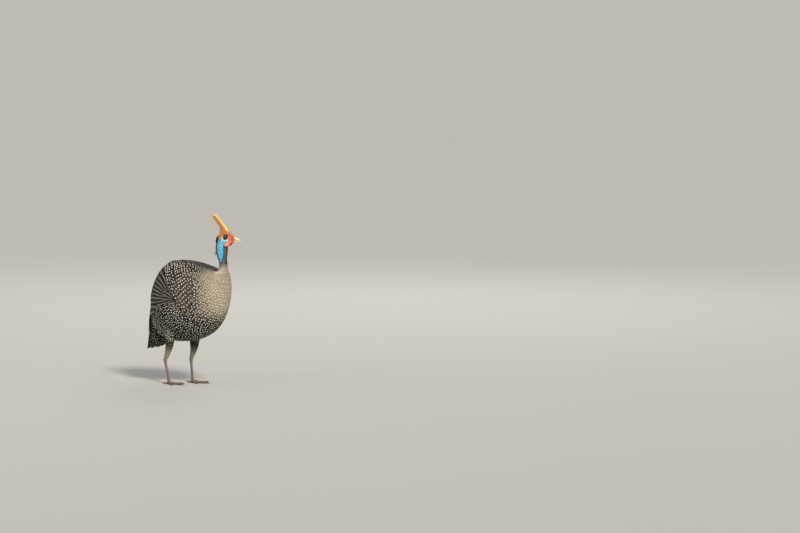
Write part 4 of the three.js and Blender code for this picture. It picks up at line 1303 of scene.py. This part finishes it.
# Bristles: a dark mane down the nape, and short hairs on the throat.
def hairs(surface, v, a, length, half, low, high, sway, curl, thick, steps, bake, camber=0.0, across=1,
          lean=0.0, tint=False):
    """Blades rooted at (v, a). A size given as a pair is drawn between its ends."""
    count = len(v)
    draw = lambda size: random.uniform(*size, count) if isinstance(size, tuple) else size
    return vanes(surface, v, a, length=draw(length), half=draw(half), low=low, high=draw(high),
                 turn=lean + spread(sway, count), camber=camber, curl=draw(curl), thick=thick, steps=steps,
                 across=across, outline=outline_blade, bake=(bake[0] + v * bake[1], a),
                 seed=random.random(count), pale=random.random(count) if tint else 0.0)


def bristles():
    # Where the neck's bristles start in the map named OFBake, and how far they run in it.
    nape = (0.02, 0.05)
    v = random.uniform(0.0, 0.62, 900)
    a = np.clip(spread(0.40, 900), -0.85, 0.85)
    groups = [hairs(neck, v, a, (4, 8), (0.28, 0.5), -0.9, (0.2, 1.1), 0.18, (0, 1.6), 0.14, 4, nape, 0.05)]
    v = random.uniform(0.05, 0.5, 90)
    a = spread(0.26, 90)
    groups.append(hairs(neck, v, a, (6, 11), 0.32, -0.6, (1.2, 3.2), 0.25, (0, 4), 0.16, 6, nape))
    # The tuft stands out from the nape.
    v = random.normal(0.24, 0.035, 26)
    a = spread(0.16, 26)
    groups.append(hairs(neck, v, a, (9, 14), 0.5, -0.6, (6, 10.5), 0.35, (2, 8), 0.2, 6, nape))
    v = random.uniform(0.12, 0.62, 330)
    a = math.pi + np.clip(spread(0.42, 330), -0.75, 0.75)
    groups.append(hairs(neck, v, a, (3, 5.5), (0.3, 0.55), -0.8, (0.2, 0.7), 0.2, 0.0, 0.13, 3, nape, 0.05,
                        tint=True))
    # Short black feathers close the back of the head, under the horn's saddle.
    v = random.uniform(0.03, 0.36, 900)
    a = np.clip(spread(1.0, 900), -2.6, 2.6)
    at = to_head(crown(v, a))
    keep = (at[:, 0] < -9.5 + 0.12 * np.abs(at[:, 1])) & (at[:, 2] < 12)
    v, a = v[keep], a[keep]
    groups.append(hairs(crown, v, a, (3.5, 6.5), (0.5, 0.85), -0.5, (0.2, 0.7), 0.3, (0, 1.2), 0.14, 4,
                        (0.005, 0.01), 0.08, across=2, lean=math.pi + np.sign(a) * 1.1))
    return groups


def bristle_material():
    material = new_material("bristle", roughness=0.5, specular=0.35)
    n = Nodes(material)
    tone = n.mix(n.value("seed"), (0.006, 0.006, 0.008), (0.03, 0.026, 0.026))
    tone = n.mix(n.mul(n.value("pale"), 0.8), tone, (0.13, 0.11, 0.11))
    streak = n.noise(n.place(), 1200.0, 2.0)
    n.finish(n.mix(n.mul(n.ramp(streak, 0.5, 0.8), 0.4), tone, (0.05, 0.045, 0.045)))
    return material


coat_piece("bristles", bristles(), bristle_material())


# Shanks and feet
def toe_way(leg, turn):
    angle = math.radians(turn * leg["side"] + leg["side"] * 4)
    return np.array([math.cos(angle), math.sin(angle), 0.0])


def tube(stations, sides, sideways):
    """Rings square to a path of (centre, half across, half up)."""
    rings = []
    centres = np.array([s[0] for s in stations], float)
    for k, (c, h1, h2) in enumerate(stations):
        along = centres[min(k + 1, len(centres) - 1)] - centres[max(k - 1, 0)]
        along /= np.linalg.norm(along)
        b = np.cross(along, sideways)
        b /= np.linalg.norm(b)
        a = np.cross(b, along)
        rings.append(oval(c, a * h1, b * h2, sides))
    return rings


def scale_material():
    material = new_material("scales", roughness=0.5, specular=0.4, coat=0.05, coat_rough=0.4)
    n = Nodes(material)
    place = n.place()
    plate = n.value("plate")
    cell = n.cells(place, 520.0)
    border = n.cells(place, 520.0, "DISTANCE_TO_EDGE")
    broad = n.noise(place, 120.0, 3.0)
    colour = n.mix(n.ramp(broad, 0.3, 0.7), (0.085, 0.058, 0.048), (0.20, 0.14, 0.115))
    colour = n.mix(n.mul(n.ramp(cell, 0.2, 0.7), 0.35), colour, (0.28, 0.20, 0.165))
    between = n.mul(n.ramp(border, 0.10, 0.02), n.less(1.0, n.ramp(plate, 0.05, 0.2)))
    gap = n.math("MAXIMUM", between, n.mul(n.ramp(plate, 0.75, 0.95), 0.9))
    colour = n.mix(n.mul(gap, 0.7), colour, (0.035, 0.024, 0.02))
    height = n.less(n.mul(border, 0.6), gap)
    n.finish(colour, normal=n.bump(height, 0.6, 0.0004))
    return material


def claw_material():
    material = new_material("claw", roughness=0.32, specular=0.45, coat=0.15, coat_rough=0.2)
    n = Nodes(material)
    grain = n.noise(n.place(), 800.0, 3.0)
    colour = n.mix(n.ramp(grain, 0.3, 0.7), (0.022, 0.017, 0.015), (0.085, 0.065, 0.052))
    n.finish(colour, normal=n.bump(grain, 0.2, 0.0002))
    return material


scales, claw_look = scale_material(), claw_material()
for name, leg in LEGS.items():
    hock, foot = np.array(leg["hock"], float), np.array(leg["foot"], float)
    stations = []
    for t in np.linspace(-0.06, 1.0, 70):
        swell = 1.5 * math.exp(-((t / 0.1) ** 2)) + 0.9 * math.exp(-(((1 - t) / 0.12) ** 2))
        stations.append((hock + (foot - hock) * t, SHANK_HALF * 0.82 + swell, SHANK_HALF + swell))
    pieces = [loft_object("shank", tube(stations, 28, np.array([0, 1.0, 0])))]
    ball = []
    for t in np.linspace(0, math.pi, 18)[1:-1]:
        half, height = BALL_HALF * math.sin(t), 5.4 + BALL_HALF * math.cos(t)
        ball.append(oval((foot[0], foot[1], height), (half, 0, 0), (0, half, 0), 24))
    pieces.append(loft_object("ball", ball))
    for toe, (turn, length) in TOES.items():
        way = toe_way(leg, turn)
        hind = toe == "hind"
        pads = through([(1.15, 0, 0), (0.86, 0, 0), (1.02, 0, 0), (0.84, 0, 0), (0.98, 0, 0), (0.80, 0, 0)])
        stations = []
        for s in np.linspace(0, 1.0, 26):
            r = TOE_HALF * pads(np.array(s))[0] * (0.8 if hind else 1)
            rise = mix(5.5 if hind else 4.0, 0.0, smooth(s / 0.55))
            centre = np.array([foot[0], foot[1], r * 0.82 + rise]) + way * s * length
            stations.append((centre, r, r))
        pieces.append(loft_object("toe", tube(stations, 20, np.array([-way[1], way[0], 0]))))
    legskin = remeshed(joined(f"leg_{name}_skin", pieces), SKIN_VOXEL, rounds=3)
    points = vertices(legskin)
    out = normals(legskin)
    # Scutes: plates across the front of the shank and over each toe.
    shank = points[:, 2] > 12
    front = smooth((out[:, 0] + 0.05) / 0.5)
    up_shank = (points[:, 2] % SCUTE["shank"]) / SCUTE["shank"]
    over_toe = smooth((out[:, 2] - 0.1) / 0.5) * (~shank)
    run = np.linalg.norm(points[:, :2] - foot[:2], axis=1)
    along_toe = 1 - (run % SCUTE["toe"]) / SCUTE["toe"]
    plate = np.where(shank, front * up_shank, over_toe * along_toe)
    lift = np.where(shank, 0.32 * front * up_shank, 0.28 * over_toe * along_toe)
    points = points + out * lift[:, None]
    points[:, 2] = np.maximum(points[:, 2], 0.0)
    set_vertices(legskin, points)
    add_value(legskin.data, "plate", plate)
    dress(legskin, scales)
    shells.append(legskin)
    for toe, (turn, length) in TOES.items():
        way = toe_way(leg, turn)
        root = np.array([foot[0], foot[1], 0]) + way * (length - 1.2)
        reach = 11 * (0.7 if toe == "hind" else 1) + 1.8
        shape = through([(2.7, 2.2, 0), (3.3, 2.0, 0), (2.6, 1.3, 0), (0.9, 0.35, 0)])
        stations = []
        for s in np.linspace(0, 1, 18):
            h = shape(np.array(s))
            stations.append((root + way * s * reach + np.array([0, 0, h[0]]), h[1] * 0.85, h[1]))
        claw = loft_object(f"nail_{name}_{toe}", tube(stations, 16, np.array([-way[1], way[0], 0])))
        dress(claw, claw_look)
        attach(claw, "root")
        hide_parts(f"claw_{name}_{toe}")


# The skin from the face to the toes is one object.
skin = joined("skin", [face, *shells])
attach(skin, "root")
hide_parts("torso", "neck_feathered", "neck_bare", "head", "wattle_left", "wattle_right",
            "wing_left", "wing_right", "tail", "thigh_left", "thigh_right", "shank_left", "shank_right",
            "foot_left", "foot_right")


# Floor
floor_material = new_material("floor", roughness=0.9, specular=0.2)
n = Nodes(floor_material)
n.finish(n.mix(n.noise(n.place(), 0.8, 3.0), (0.50, 0.50, 0.49), (0.52, 0.52, 0.51)))
corners = [(-120, -60, 0), (120, -60, 0), (120, 400, 0), (-120, 400, 0)]
floor = mesh_object("floor", np.array(corners, float), np.array([[0, 1, 2, 3]]))
dress(floor, floor_material)

# Camera, at the photograph's angle: the bird stands left of the middle of the frame.
FRAME, FEET = (800, 533), (188.5, 384)
LENS, SENSOR = 250, 36
FOCAL_PIXELS = LENS / SENSOR * FRAME[0]
azimuth, elevation, distance = math.radians(38), math.radians(4.5), 15.55
level = math.cos(elevation)
forward = np.array([-math.sin(azimuth) * level, math.cos(azimuth) * level, -math.sin(elevation)])
right = np.array([math.cos(azimuth), math.sin(azimuth), 0.0])
up = np.cross(right, forward)
foot_point = np.array([SHIFT * 0.001, 0, 0])
offset = right * ((FEET[0] - FRAME[0] / 2) / FOCAL_PIXELS * distance)
offset = offset - up * ((FEET[1] - FRAME[1] / 2) / FOCAL_PIXELS * distance)
camera_data = bpy.data.cameras.new("camera")
camera_data.lens = LENS
camera_data.sensor_width = SENSOR
camera_data.clip_end = 1000
camera = bpy.data.objects.new("camera", camera_data)
bpy.context.scene.collection.objects.link(camera)
camera.matrix_world = Matrix([(*row, 0) for row in zip(right, up, -forward)] + [(0, 0, 0, 1)])
camera.location = Vector(foot_point - offset - forward * distance)
bpy.context.scene.camera = camera


# Lights
def lamp(name, kind, place, size, power, colour):
    data = bpy.data.lights.new(name, kind)
    data.energy = power
    data.color = colour
    if kind == "SUN":
        data.angle = size
    else:
        data.shape = "DISK"
        data.size = size
    light = bpy.data.objects.new(name, data)
    light.location = place
    light.rotation_euler = (Vector((0, 0, 0.25)) - Vector(place)).to_track_quat("-Z", "Y").to_euler()
    bpy.context.scene.collection.objects.link(light)


lamp("key", "SUN", (3.2, -2.0, 3.0), math.radians(12), 3.1, (1.0, 0.93, 0.80))
lamp("fill", "AREA", (-1.6, -3.2, 1.2), 2.4, 22, (0.95, 0.97, 1.0))
lamp("rim", "AREA", (-1.5, 3.0, 2.2), 1.6, 22, (1.0, 0.98, 0.95))
world = bpy.data.worlds.new("world")
world.use_nodes = True
world.node_tree.nodes["Background"].inputs[0].default_value = (0.87, 0.86, 0.84, 1)
world.node_tree.nodes["Background"].inputs[1].default_value = 0.5
bpy.context.scene.world = world
bpy.context.scene.view_settings.view_transform = "Standard"
